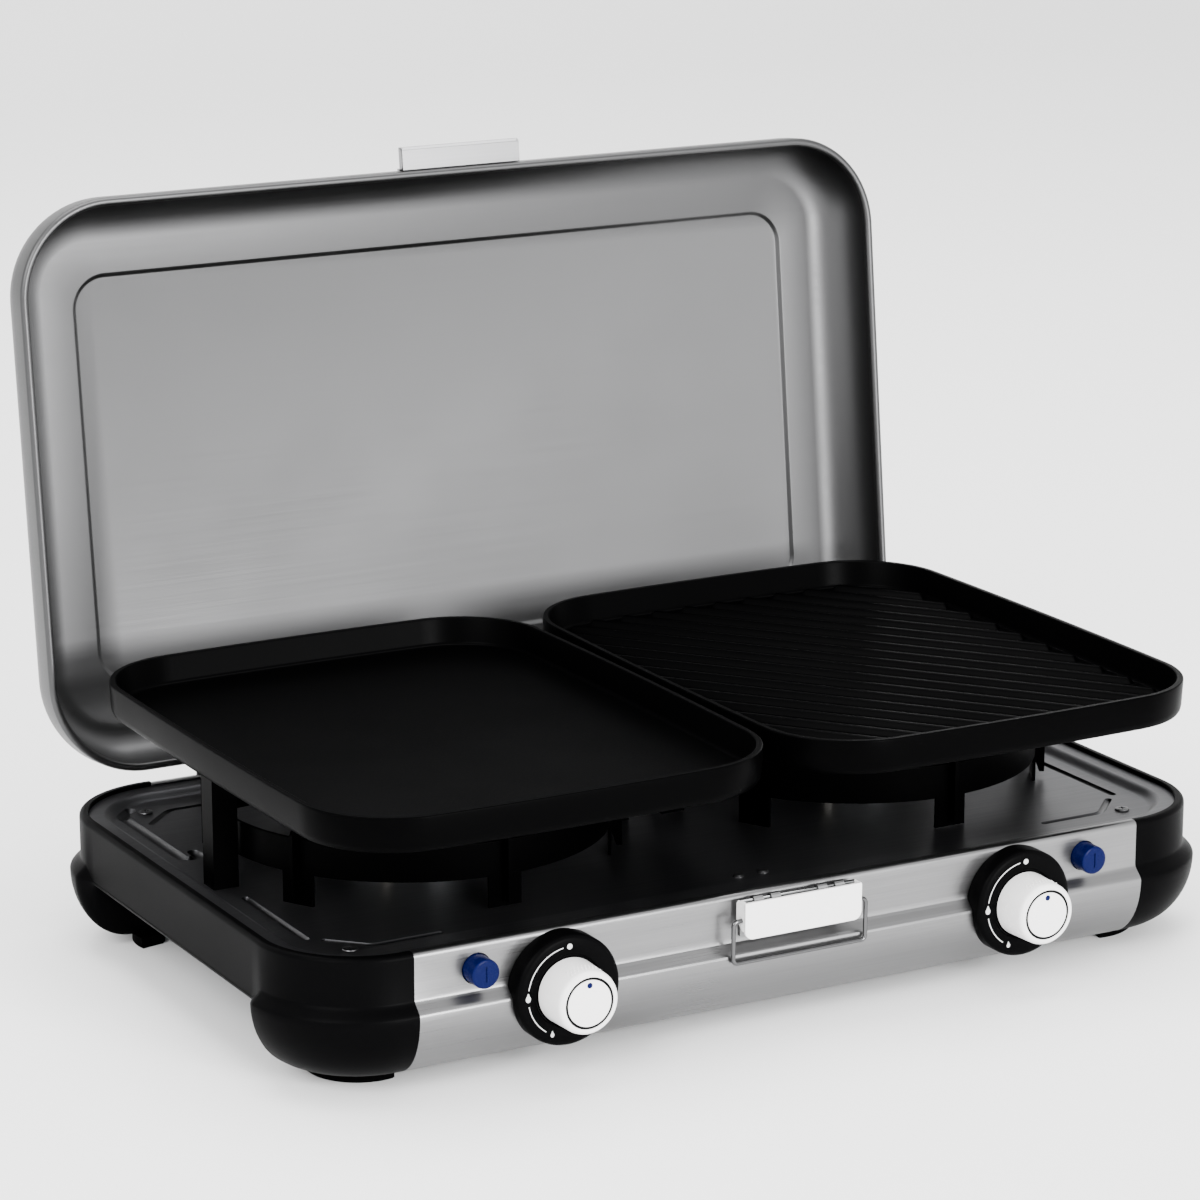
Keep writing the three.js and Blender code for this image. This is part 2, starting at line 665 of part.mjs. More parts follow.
// A pressed lever: a plate with two ends turned back towards the panel.
function latchLever() {
  const radius = 5;
  const half = LATCH_HALF;
  const [low, high] = [LATCH_BOTTOM, LATCH_TOP];
  const outline = [
    [half, high], [-half, high],
    ...arcPoints(-half + radius, low + radius, radius, radius, 180, 270, 5),
    ...arcPoints(half - radius, low + radius, radius, radius, 270, 360, 5),
  ];
  const plate = alongY(outline, LATCH_FACE_Y, LATCH_FACE_Y + 1.5);
  const back = -178;
  const wing = [
    [LATCH_FACE_Y + 0.2, low + radius], [LATCH_FACE_Y + 4, low + 4], [back, low + 9],
    [back, high - 2], [back - 2, high], [LATCH_FACE_Y + 0.2, high],
  ];
  const wings = [-1, 1].map((side) => alongX(wing,
    Math.min(side * half, side * (half - 1.5)), Math.max(side * half, side * (half - 1.5))));
  const bores = [
    rodX(1.8, -36.95, 36.95, LATCH_PIN_Y, LATCH_PIN_Z, 16),
    rodX(BAIL_WIRE + 0.35, -50, 50, BAIL_PIVOT_Y, BAIL_PIVOT_Z, 14),
  ];
  return cut(joined([plate, ...wings]), bores);
}

// Wire loop hung in the lever's sides. Its cross-bar hooks over the lid's keeper.
function latchBail() {
  const low = BAIL_PIVOT_Z - BAIL_REACH;
  const y = BAIL_PIVOT_Y;
  return bentRod([
    [-32.5, y, BAIL_PIVOT_Z], [-BAIL_HALF, y, BAIL_PIVOT_Z], [-BAIL_HALF, y, low],
    [BAIL_HALF, y, low], [BAIL_HALF, y, BAIL_PIVOT_Z], [32.5, y, BAIL_PIVOT_Z],
  ], 3, BAIL_WIRE, 8);
}

// ---------------------------------------------------------------- lid

const LID = { halfX: LID_HALF_LENGTH, halfY: LID_HALF_DEPTH, radius: LID_RADIUS };

// Pressed lid as it lies when shut: rim down at LID_RIM, panel on top.
function lidShell() {
  const crown = LID_WALL + LID_FILLET;
  const fillet = (radius, steps) => arcPoints(-LID_FILLET, LID_WALL, radius, radius, 90, 0, steps);
  const inside = fillet(LID_FILLET - SHEET, 6).toReversed();
  const stations = [
    [-LID_BEAD - 2, crown + 1.2], [-LID_BEAD, crown], ...fillet(LID_FILLET, 6),
    [0, 0.9], [-0.7, 0], [-4.3, 0], [-5, 0.7], [-5, 4.3], [-4.5, 5], [-SHEET, 5], ...inside,
    [-LID_BEAD - 0.6, crown - SHEET], [-LID_BEAD - 2.6, crown + 1.2 - SHEET],
  ];
  return stacked(LID, stations.map(([out, up]) => [out, LID_RIM + up]));
}

// Keeper on the lid's front edge: a shelf with an upturned lip, on a short back leaf.
function lidKeeper() {
  const back = -LID_HALF_DEPTH - GAP;
  const front = back - KEEPER_REACH;
  const low = 83.5;
  const half = KEEPER_HALF;
  const outline = [
    [back, low], [back, low + 8.5], [back - 1.2, low + 8.5], [back - 1.2, low + 1.2],
    [front + 1.2, low + 1.2], [front + 1.2, low + 5.2], [front, low + 5.2],
    [front, low + 1.2], [front + 1.2, low],
  ];
  const ends = [-1, 1].map((side) => {
    const [x0, x1] = [side * half, side * (half - 1.2)];
    return block(Math.min(x0, x1), Math.max(x0, x1), front + 0.4, back, low + 0.2, low + 5.2);
  });
  return joined([alongX(outline, -half, half), ...ends]);
}

// ---------------------------------------------------------------- hinges

const KNUCKLE = 8;

function knuckle(x0, x1) {
  return rodX(BARREL_RADIUS, x0, x1, HINGE_Y, HINGE_Z, 14);
}

function pinBore(x) {
  return rodX(HINGE_PIN_RADIUS + 0.3, x - 40, x + 40, HINGE_Y, HINGE_Z, 10);
}

// Leaf on the rear panel with the two outer knuckles.
function hingeCaseLeaf(x) {
  const face = HALF_DEPTH + GAP;
  const leaf = block(x - 20, x + 20, face, face + 1.2, 58, 78.5);
  const arms = [-1, 1].flatMap((side) => {
    const [a, b] = [x + side * (KNUCKLE + GAP), x + side * 20];
    const [x0, x1] = [Math.min(a, b), Math.max(a, b)];
    return [knuckle(x0, x1), block(x0, x1, face, face + 1.2, 78, HINGE_Z)];
  });
  return cut(joined([leaf, ...arms]), [pinBore(x)]);
}

// Leaf on the lid's back wall with the middle knuckle, as it lies when the lid is shut.
function hingeLidLeaf(x) {
  const face = LID_HALF_DEPTH + GAP;
  const leaf = block(x - 18, x + 18, face, face + 1.2, 85.5, 92.5);
  const arm = block(x - KNUCKLE, x + KNUCKLE, face, face + 1.8, HINGE_Z - 0.2, 86);
  return cut(joined([leaf, arm, knuckle(x - KNUCKLE, x + KNUCKLE)]), [pinBore(x)]);
}

function hingePin(x) {
  return rodX(HINGE_PIN_RADIUS, x - 21.5, x + 21.5, HINGE_Y, HINGE_Z, 14);
}

// ---------------------------------------------------------------- pan supports and plates

const ARM_ANGLES = [30, 90, 150, 210, 270, 330];

// Round wind shield band on six feet, with a finger across each foot that carries a pan.
function panSupport(side) {
  const wall = 1.8;
  const band = turned(closeProfile([
    [SUPPORT_RADIUS, SUPPORT_LOW], [SUPPORT_RADIUS, SUPPORT_HIGH],
    [SUPPORT_RADIUS - wall, SUPPORT_HIGH], [SUPPORT_RADIUS - wall, SUPPORT_LOW],
  ]), 40);
  const finger = [
    [46, 112], [50, FINGER_TOP], [SUPPORT_RADIUS + 4, FINGER_TOP], [SUPPORT_RADIUS + 6, FINGER_TOP - 2],
    [SUPPORT_RADIUS + 6, HOB_TOP + GAP + 3.2], [SUPPORT_RADIUS + 3, HOB_TOP + GAP + 3.2],
    [SUPPORT_RADIUS - 4, 95], [60, 106],
  ];
  const arms = ARM_ANGLES.flatMap((angle) => [
    alongY(finger, -1.1, 1.1).rotateZ(deg(angle)),
    block(SUPPORT_RADIUS - wall, SUPPORT_RADIUS, -10, 10, HOB_TOP + GAP, SUPPORT_LOW + 1).rotateZ(deg(angle)),
  ]);
  return joined([band, ...arms]).translate(side * BURNER_X, 0, 0);
}

const PLATE = {
  halfX: PLATE_HALF_WIDTH, halfY: PLATE_HALF_DEPTH, radius: PLATE_RADIUS, steps: 7, bow: PLATE_BOW,
};

function legReach(side, end) {
  return side === end ? OUTER_LEG_REACH : INNER_LEG_REACH;
}

// A cast tray with stubs below that stand on the pan support, and a lug for each leg.
function plateBlank(side) {
  const tray = stacked(PLATE, [
    [-6, PLATE_BOTTOM], [-3, PLATE_BOTTOM + 0.4], [-1.4, PLATE_BOTTOM + 2], [0, PLATE_TOP - 1],
    [-0.4, PLATE_TOP], [-3.4, PLATE_TOP], [-4, PLATE_TOP - 0.8], [-6, PLATE_FLOOR + 3],
    [-7, PLATE_FLOOR + 0.9], [-9, PLATE_FLOOR],
  ]).translate(side * PLATE_X, PLATE_Y, 0);
  const burner = side * BURNER_X;
  const stubs = ARM_ANGLES.map((angle) => block(94, 108, -4, 4, FINGER_TOP + GAP, PLATE_BOTTOM + 1)
    .rotateZ(deg(angle)).translate(burner, 0, 0));
  const lugs = [-1, 1].map((end) => {
    const outer = burner + end * (legReach(side, end) - 1.2 - GAP);
    const inner = outer - end * 10;
    return block(Math.min(inner, outer), Math.max(inner, outer), LEG_FRONT + 1.2 + GAP, LEG_FRONT + 14,
      112, PLATE_BOTTOM + 1);
  });
  return joined([tray, ...stubs, ...lugs]);
}

// Ribs that follow the plate's diagonal, trimmed to the floor inside the rim.
function ribbedPlate(side) {
  const reach = 240;
  const rib = [[-3.1, PLATE_FLOOR - 1], [-1.6, PLATE_FLOOR + 3.6], [1.6, PLATE_FLOOR + 3.6], [3.1, PLATE_FLOOR - 1]];
  const ribs = [];
  for (let i = -13; i <= 13; i += 1) {
    ribs.push(alongX(rib, -reach, reach).translate(0, i * RIB_PITCH, 0).rotateZ(-deg(RIB_ANGLE)));
  }
  const field = stacked({ ...PLATE, steps: 4 }, [[-12, PLATE_FLOOR - 2], [-12, PLATE_FLOOR + 6]]);
  const trimmed = ribs.map(toSolid).reduce((sum, next) => sum.add(next)).intersect(toSolid(field));
  const placed = toGeometry(trimmed).translate(side * PLATE_X, PLATE_Y, 0);
  return joined([plateBlank(side), placed]);
}

const LEG_FRONT = -13;

// Folded leg screwed to a lug: a face to the front and a face outwards, down to the hob.
function plateLeg(side, end) {
  const outer = side * BURNER_X + end * legReach(side, end);
  const high = PLATE_BOTTOM - GAP;
  const low = HOB_TOP + GAP;
  const face = (x0, x1, y0, y1) => block(Math.min(x0, x1), Math.max(x0, x1), y0, y1, low, high);
  return joined([
    face(outer, outer - end * 15, LEG_FRONT, LEG_FRONT + 1.2),
    face(outer, outer - end * 1.2, LEG_FRONT, LEG_FRONT + 14),
  ]);
}

// ---------------------------------------------------------------- assembly

const SIDES = [['left', -1], ['right', 1]];
const ENDS = [['front', -1], ['rear', 1]];

function caseGroup() {
  const group = new THREE.Group();
  group.add(part('base_tray', baseTray(), 'galvanised'));
  group.add(part('front_panel', frontPanel(), 'brushedSteel'));
  group.add(part('rear_panel', rearPanel(), 'brushedSteel'));
  group.add(part('hob_plate', hobPlate(), 'hobSteel'));
  for (const [name, side] of SIDES) {
    group.add(part(`${name}_end_casing`, endCasing(side), 'blackPlastic'));
    for (const [end, back] of ENDS) {
      group.add(part(`${end}_${name}_foot`, foot(side, back), 'rubber'));
      group.add(part(`hob_screw_${end}_${name}`, hobScrew(side, back), 'chrome'));
    }
  }
  return group;
}

function gasGroup() {
  const group = new THREE.Group();
  group.add(part('gas_manifold', gasManifold(), 'aluminium'));
  group.add(part('gas_inlet', gasInlet(), 'brass'));
  for (const [name, side] of SIDES) {
    group.add(part(`${name}_burner_body`, burnerBody(side), 'aluminium'));
    group.add(part(`${name}_burner_cap`, burnerCap(side), 'enamel'));
    group.add(part(`${name}_mixing_tube`, mixingTube(side), 'aluminium'));
    group.add(part(`${name}_injector`, injector(side), 'brass'));
    group.add(part(`${name}_gas_valve`, gasValve(side), 'brass'));
    group.add(part(`${name}_valve_stem`, valveStem(side), 'brass'));
    group.add(part(`${name}_igniter_body`, igniterBody(side), 'blackPlastic'));
    group.add(part(`${name}_spark_electrode`, sparkElectrode(side), 'ceramic'));
    group.add(part(`${name}_pan_support`, panSupport(side), 'enamel'));
  }
  return group;
}

function controlsGroup() {
  const group = new THREE.Group();
  for (const [name, side] of SIDES) {
    group.add(part(`${name}_dial_bezel`, dialBezel(side), 'blackPlastic'));
    group.add(part(`${name}_knob`, knob(side), 'whitePlastic'));
    group.add(part(`${name}_igniter_button`, igniterButton(side), 'bluePlastic'));
  }
  group.add(part('latch_bracket', latchBracket(), 'brushedSteel'));
  group.add(part('latch_pin', latchPin(), 'chrome'));
  group.add(part('latch_lever', latchLever(), 'whitePlastic'));
  group.add(part('latch_bail', latchBail(), 'chrome'));
  return group;
}

// The lid's own pieces are modelled shut and turned open about the hinge line.
function lidGroup() {
  const swing = new THREE.Group();
  const shut = new THREE.Group();
  shut.position.set(0, -HINGE_Y, -HINGE_Z);
  shut.add(part('lid_shell', lidShell(), 'lidSteel'));
  shut.add(part('lid_keeper', lidKeeper(), 'brushedSteel'));
  for (const [name, side] of SIDES) {
    shut.add(part(`${name}_hinge_lid_leaf`, hingeLidLeaf(side * HINGE_X), 'brushedSteel'));
  }
  swing.add(shut);
  swing.position.set(0, HINGE_Y, HINGE_Z);
  swing.rotation.x = -deg(LID_OPEN_ANGLE);
  return swing;
}

function hingeGroup() {
  const group = new THREE.Group();
  for (const [name, side] of SIDES) {
    group.add(part(`${name}_hinge_case_leaf`, hingeCaseLeaf(side * HINGE_X), 'brushedSteel'));
    group.add(part(`${name}_hinge_pin`, hingePin(side * HINGE_X), 'chrome'));
  }
  return group;
}

function platesGroup() {
  const group = new THREE.Group();
  group.add(part('griddle_plate', plateBlank(-1), 'castBlack'));
  group.add(part('grill_plate', ribbedPlate(1), 'castBlack'));
  for (const [name, side] of [['griddle', -1], ['grill', 1]]) {
    group.add(part(`${name}_leg_outer`, plateLeg(side, side), 'enamel'));
    group.add(part(`${name}_leg_inner`, plateLeg(side, -side), 'enamel'));
  }
  return group;
}

const grill = new THREE.Group();
grill.add(caseGroup(), gasGroup(), controlsGroup(), lidGroup(), hingeGroup(), platesGroup());
grill.updateMatrixWorld(true);
const box = new THREE.Box3().setFromObject(grill, true);
grill.position.y = -(box.min.y + box.max.y) / 2;
grill.updateMatrixWorld(true);

export default grill;
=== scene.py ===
"""Looks of the folding camp grill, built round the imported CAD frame. Lengths below are in
millimetres in the CAD drawing's own frame, where the case is centred on x = 0 and y = 0."""

import math

import bmesh
import bpy
from mathutils import Matrix, Vector


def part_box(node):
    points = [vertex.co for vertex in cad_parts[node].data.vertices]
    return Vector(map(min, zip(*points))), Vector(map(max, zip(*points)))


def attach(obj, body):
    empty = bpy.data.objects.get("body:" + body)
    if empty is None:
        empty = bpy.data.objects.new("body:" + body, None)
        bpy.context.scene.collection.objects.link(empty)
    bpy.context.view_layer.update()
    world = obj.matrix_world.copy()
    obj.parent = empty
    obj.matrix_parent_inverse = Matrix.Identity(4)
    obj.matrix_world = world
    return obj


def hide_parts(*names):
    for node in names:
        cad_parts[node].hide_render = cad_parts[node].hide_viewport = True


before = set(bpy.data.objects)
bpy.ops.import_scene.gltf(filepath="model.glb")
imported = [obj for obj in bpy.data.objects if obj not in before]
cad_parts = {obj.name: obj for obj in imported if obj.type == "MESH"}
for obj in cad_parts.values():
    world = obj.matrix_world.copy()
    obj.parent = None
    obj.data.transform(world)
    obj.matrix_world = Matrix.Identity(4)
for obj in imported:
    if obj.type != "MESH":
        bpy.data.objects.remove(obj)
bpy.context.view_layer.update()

# The row frame is centred on the whole object, so it lies a little forward of the case.
SHIFT_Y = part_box("base_tray")[0].y * 1000 + 138
MM = 0.001


# ---------------------------------------------------------------- materials


def surface(name, color, roughness, metallic=0.0, specular=0.5, coat=0.0, grain=None, brush=None,
            spread=0.06, bump=0.15, tint=0.08):
    """A principled surface whose roughness, colour and relief vary a little. grain is the
    size in mm of an even speckle. brush is the direction, 0 for X and 2 for Z, of fine lines."""
    material = bpy.data.materials.new(name)
    material.use_nodes = True
    nodes, links = material.node_tree.nodes, material.node_tree.links
    shader = nodes["Principled BSDF"]
    shader.inputs["Base Color"].default_value = (*color, 1)
    shader.inputs["Metallic"].default_value = metallic
    shader.inputs["Specular IOR Level"].default_value = specular
    shader.inputs["Coat Weight"].default_value = coat
    shader.inputs["Coat Roughness"].default_value = 0.12
    place = nodes.new("ShaderNodeTexCoord")
    stretch = nodes.new("ShaderNodeMapping")
    links.new(place.outputs["Object"], stretch.inputs["Vector"])
    if brush is not None:
        scale = [900.0, 900.0, 900.0]
        scale[brush] = 9.0
        stretch.inputs["Scale"].default_value = scale
    else:
        stretch.inputs["Scale"].default_value = [1000.0 / (grain or 1.0)] * 3
    fine = nodes.new("ShaderNodeTexNoise")
    fine.inputs["Scale"].default_value = 1.0
    fine.inputs["Detail"].default_value = 3.0
    links.new(stretch.outputs["Vector"], fine.inputs["Vector"])
    broad = nodes.new("ShaderNodeTexNoise")
    broad.inputs["Scale"].default_value = 11.0
    broad.inputs["Detail"].default_value = 2.0
    links.new(place.outputs["Object"], broad.inputs["Vector"])
    both = nodes.new("ShaderNodeMath")
    both.operation = "ADD"
    links.new(fine.outputs["Fac"], both.inputs[0])
    links.new(broad.outputs["Fac"], both.inputs[1])
    rough = nodes.new("ShaderNodeMapRange")
    rough.inputs["From Min"].default_value = 0.6
    rough.inputs["From Max"].default_value = 1.4
    rough.inputs["To Min"].default_value = roughness - spread
    rough.inputs["To Max"].default_value = roughness + spread
    links.new(both.outputs[0], rough.inputs["Value"])
    links.new(rough.outputs["Result"], shader.inputs["Roughness"])
    shade = nodes.new("ShaderNodeMix")
    shade.data_type = "RGBA"
    shade.inputs["A"].default_value = (*[c * (1 - tint) for c in color], 1)
    shade.inputs["B"].default_value = (*[min(1, c * (1 + tint)) for c in color], 1)
    links.new(fine.outputs["Fac"], shade.inputs["Factor"])
    links.new(shade.outputs["Result"], shader.inputs["Base Color"])
    relief = nodes.new("ShaderNodeBump")
    relief.inputs["Strength"].default_value = bump
    relief.inputs["Distance"].default_value = 0.0002
    links.new(fine.outputs["Fac"], relief.inputs["Height"])
    links.new(relief.outputs["Normal"], shader.inputs["Normal"])
    return material


BRUSHED = surface("brushed_steel", (0.18, 0.18, 0.182), 0.31, 1.0, brush=0, bump=0.25, tint=0.12)
HOB = surface("hob_steel", (0.062, 0.062, 0.066), 0.42, 1.0, brush=0, bump=0.06, tint=0.06)
# The groove bottoms are the hob's own steel, coloured darker than the hob as painted shade in the grooves.
SHADED_GROOVE_STEEL = surface("hob_groove_steel_painted_shade", (0.035, 0.035, 0.037), 0.34, 1.0, brush=0, bump=0.06, tint=0.06)
LID = surface("lid_steel", (0.066, 0.066, 0.067), 0.39, 1.0, brush=0, bump=0.05, tint=0.04)
GALVANISED = surface("galvanised", (0.42, 0.44, 0.46), 0.45, 1.0, grain=9, tint=0.16)
PLASTIC = surface("black_plastic", (0.0008, 0.0008, 0.0009), 0.4, specular=0.014, grain=0.45, bump=0.35)
BEZEL = surface("bezel_plastic", (0.0009, 0.0009, 0.001), 0.38, specular=0.015, grain=0.6, bump=0.15)
RUBBER = surface("rubber", (0.0008, 0.0008, 0.0008), 0.75, specular=0.01, grain=0.8, bump=0.3)
WHITE = surface("white_plastic", (0.88, 0.87, 0.865), 0.25, coat=0.12, grain=4, bump=0.03, tint=0.01)
BLUE = surface("blue_plastic", (0.0002, 0.0018, 0.034), 0.28, coat=0.02, specular=0.06, grain=2, bump=0.04)
NONSTICK = surface("nonstick", (0.0003, 0.0003, 0.00035), 0.34, specular=0.011, grain=0.9, bump=0.1)
ENAMEL = surface("black_enamel", (0.0003, 0.0003, 0.00035), 0.34, specular=0.008, grain=1.6, bump=0.08)
ALUMINIUM = surface("aluminium", (0.4, 0.41, 0.42), 0.42, 1.0, grain=1.5, bump=0.2)
BRASS = surface("brass", (0.42, 0.3, 0.12), 0.28, 1.0, grain=3, bump=0.05)
CHROME = surface("chrome", (0.26, 0.263, 0.266), 0.18, 1.0, grain=6, bump=0.02, spread=0.03, tint=0.03)
WIRE = surface("bail_wire", (0.1, 0.1, 0.102), 0.15, 1.0, grain=3, bump=0.02, spread=0.03, tint=0.03)
SCREW = surface("screw_steel", (0.07, 0.07, 0.072), 0.36, 1.0, grain=2, bump=0.04, spread=0.03, tint=0.03)
KEEPER = surface("keeper_steel", (0.26, 0.26, 0.265), 0.33, 1.0, brush=0, bump=0.08)
CERAMIC = surface("ceramic", (0.72, 0.69, 0.62), 0.3, grain=3, bump=0.05)
MARK = surface("printed_white", (0.6, 0.6, 0.6), 0.5, grain=1, bump=0.02, tint=0.02)
DARK = surface("groove_shadow", (0.003, 0.003, 0.0033), 0.6, specular=0.02, grain=1, bump=0.02)


# ---------------------------------------------------------------- shapes


def arc(cx, cy, rx, ry, start, end, steps):
    points = []
    for i in range(steps + 1):
        angle = math.radians(start + (end - start) * i / steps)
        points.append((cx + rx * math.cos(angle), cy + ry * math.sin(angle)))
    return points


def outline(half_x, half_y, radius, offset, steps=20, bow=0.0):
    """A rectangle with round corners, counter-clockwise, grown by offset. bow pushes the
    middle of each side out."""
    points = []
    for sx, sy, start in ((1, -1, -90), (1, 1, 0), (-1, 1, 90), (-1, -1, 180)):
        cx, cy = sx * (half_x - radius), sy * (half_y - radius)
        points += arc(cx, cy, radius + offset, radius + offset, start, start + 90, steps)
        for i in range(1, 12 if bow else 1):
            t = -1 + i / 6
            out = offset + bow * (1 - t * t)
            if sx == -sy:
                points.append((sx * (half_x + out), sx * t * (half_y - radius)))
            else:
                points.append((-sy * t * (half_x - radius), sy * (half_y + out)))
    return points


def skin(loops):
    """Quads between equal loops, with a flat cap on the first and the last."""
    count = len(loops[0])
    faces = []
    for row in range(len(loops) - 1):
        below, above = row * count, (row + 1) * count
        for i in range(count):
            j = (i + 1) % count
            faces.append((below + i, below + j, above + j, above + i))
    last = (len(loops) - 1) * count
    faces.append(tuple(reversed(range(count))))
    faces.append(tuple(range(last, last + count)))
    return [point for loop in loops for point in loop], faces


def stacked(shape, stations):
    """Outlines one above another; stations are (offset, z)."""
    return skin([[(x, y, z) for x, y in outline(offset=offset, **shape)] for offset, z in stations])


def turned(profile, sides=64, axis="z", at=(0, 0, 0)):
    """A turned body. The profile is (radius, along) and closes on itself unless both of its
    ends lie on the axis. Along is +Z, or -Y for axis y."""
    solid = profile[0][0] == 0 and profile[-1][0] == 0
    rows = profile[1:-1] if solid else profile
    verts = []
    for radius, along in rows:
        for i in range(sides):
            angle = 2 * math.pi * i / sides
            verts.append((radius * math.cos(angle), radius * math.sin(angle), along))
    faces = []
    for row in range(len(rows) - 1 if solid else len(rows)):
        low, high = row * sides, (row + 1) % len(rows) * sides
        for i in range(sides):
            j = (i + 1) % sides
            faces.append((low + i, low + j, high + j, high + i))
    if solid:
        for row, along, flip in ((0, profile[0][1], True), (len(rows) - 1, profile[-1][1], False)):
            tip = len(verts)
            verts.append((0, 0, along))
            for i in range(sides):
                a, b = row * sides + i, row * sides + (i + 1) % sides
                faces.append((tip, b, a) if flip else (tip, a, b))
    if axis == "y":
        verts = [(x, -z, y) for x, y, z in verts]
    return [(x + at[0], y + at[1], z + at[2]) for x, y, z in verts], faces


def drawn_x(profile, x0, x1):
    """A flat (y, z) outline drawn along X."""
    return skin([[(x, y, z) for y, z in profile] for x in (x0, x1)])


def drawn_y(profile, y0, y1):
    """A flat (x, z) outline drawn along Y."""
    return skin([[(x, y, z) for x, z in profile] for y in (y0, y1)])


def drawn_z(profile, z0, z1):
    """A flat (x, y) outline drawn along Z."""
    return skin([[(x, y, z) for x, y in profile] for z in (z0, z1)])


def cuboid(x0, x1, y0, y1, z0, z1):
    return drawn_z([(x0, y0), (x1, y0), (x1, y1), (x0, y1)], z0, z1)


def rod(points, radius, sides=20):
    """A round wire through points, with a frame carried along it."""
    spots = [Vector(p) for p in points]
    tangents = []
    for i in range(len(spots)):
        ahead, behind = spots[min(i + 1, len(spots) - 1)], spots[max(i - 1, 0)]
        tangents.append((ahead - behind).normalized())
    normal = tangents[0].orthogonal().normalized()
    loops = []
    for spot, tangent in zip(spots, tangents):
        normal = (normal - tangent * normal.dot(tangent)).normalized()
        side = tangent.cross(normal)
        loops.append([
            tuple(spot + normal * (radius * math.cos(a)) + side * (radius * math.sin(a)))
            for a in (2 * math.pi * i / sides for i in range(sides))
        ])
    return skin(loops)


def bends(corners, radius, steps=8):
    """Points along straight runs whose corners are rounded."""
    corners = [Vector(c) for c in corners]
    points = [corners[0]]
    for before, corner, after in zip(corners, corners[1:], corners[2:]):
        enter = corner + (before - corner).normalized() * radius
        leave = corner + (after - corner).normalized() * radius
        for i in range(steps + 1):
            t = i / steps
            points.append(enter.lerp(corner, t).lerp(corner.lerp(leave, t), t))
    return points + [corners[-1]]


def moved(shape, matrix):
    return [tuple(matrix @ Vector(v)) for v in shape[0]], shape[1]


def spun(shape, degrees, x=0.0, y=0.0):
    return moved(shape, Matrix.Translation((x, y, 0)) @ Matrix.Rotation(math.radians(degrees), 4, "Z"))


def merged(shapes):
    verts, faces = [], []
    for part_verts, part_faces in shapes:
        start = len(verts)
        verts += part_verts
        faces += [tuple(start + i for i in face) for face in part_faces]
    return verts, faces


def placed(name, data):
    obj = bpy.data.objects.new(name, data)
    bpy.context.scene.collection.objects.link(obj)
    return obj


def solid_mesh(name, verts, faces, weld=0.0):
    """A mesh whose faces look outwards, with points closer than weld joined."""
    mesh = bpy.data.meshes.new(name)
    mesh.from_pydata(verts, [], faces)
    work = bmesh.new()
    work.from_mesh(mesh)
    if weld:
        bmesh.ops.remove_doubles(work, verts=work.verts, dist=weld)
    bmesh.ops.recalc_face_normals(work, faces=work.faces)
    work.to_mesh(mesh)
    work.free()
    return mesh


def round_edges(obj, width, angle):
    edge = obj.modifiers.new("edge", "BEVEL")
    edge.width = width * MM
    edge.segments = 2
    edge.limit_method = "ANGLE"
    edge.angle_limit = math.radians(angle)
    return edge


def piece(name, shape, material, body, replaces=(), bevel=0.0, angle=32):
    """A shown piece in the row frame that rides on a CAD body."""
    verts = [(x * MM, (y + SHIFT_Y) * MM, z * MM) for x, y, z in shape[0]]
    obj = placed(name, solid_mesh(name, verts, shape[1], weld=1e-7))
    obj.data.materials.append(material)
    obj.data.shade_smooth()
    obj.data.set_sharp_from_angle(angle=math.radians(angle))
    if bevel:
        round_edges(obj, bevel, angle).harden_normals = True
    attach(obj, body)
    if replaces:
        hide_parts(*replaces)


def carve(shape, cutters):
    """Cuts shapes out of a shape and returns the rest."""
    block, tool = [placed("cut", solid_mesh("cut", *made)) for made in (shape, merged(cutters))]
    step = block.modifiers.new("cut", "BOOLEAN")
    step.operation = "DIFFERENCE"
    step.solver = "EXACT"
    step.object = tool
    graph = bpy.context.evaluated_depsgraph_get()
    result = bpy.data.meshes.new_from_object(block.evaluated_get(graph))
    rest = [tuple(v.co) for v in result.vertices], [tuple(p.vertices) for p in result.polygons]
    for obj in (block, tool):
        bpy.data.objects.remove(obj)
    return rest


# ---------------------------------------------------------------- case

CASE = {"half_x": 295, "half_y": 175, "radius": 59}
BEND_X, BEND_Y = CASE["half_x"] - CASE["radius"], CASE["half_y"] - CASE["radius"]
PANEL_HALF = 231.7
GAP = 0.3
TOP = 80
RIM = 5.5
KNOB_X, KNOB_Z = 146.2, 48.1
BUTTON_X, BUTTON_Z = 195, 65.2
INLET_X, INLET_Z = 214, 64


def wall_section(boot, wall, rim, floor, top=TOP, fine=18):
    """The case wall as (outwards, z). boot runs from 0, a plain band, to 1, a full boot."""
    drop, sweep, inset, waist = 39 * boot, 32.3, 26, 46
    ledge = []
    for i in range(7):
        t = i / 6
        s = t * t * (3 - 2 * t)
        ledge.append((6.3 * boot * s, waist + 8 * boot * (1 - t) * 0.9 + 0.8 * boot * (1 - s)))
    outer = arc(-inset * boot, waist, sweep * boot, -drop, 0, 90, fine)
    inner = []
    for c, s in arc(0, 0, 1, 1, 90, 0, fine):
        out = boot * (sweep * c - inset) - wall * (c + (1 - boot) * (1 - c))
        inner.append((out, waist - drop * s + wall * s))
    end, low = -floor * boot - wall * (1 - boot), waist - drop
    top_round = arc(-3, top - 3, 3, 3, 90, 0, 6)
    return (
        [(-rim, top - 0.5), (-rim + 0.5, top)] + top_round + ledge[:-1] + outer
        + [(end, low), (end, low + wall)] + inner
        + [(out - wall, z) for out, z in reversed(ledge[:-1])]
        + [(-wall, top - wall), (-rim, top - wall)]
    )


def boot_amount(y):
    """How fully the boot is formed: a trace between the corners, full round them."""
    t = min(1, max(0, (abs(y) - 108) / 13))
    return 0.06 + 0.94 * t * t * (3 - 2 * t)


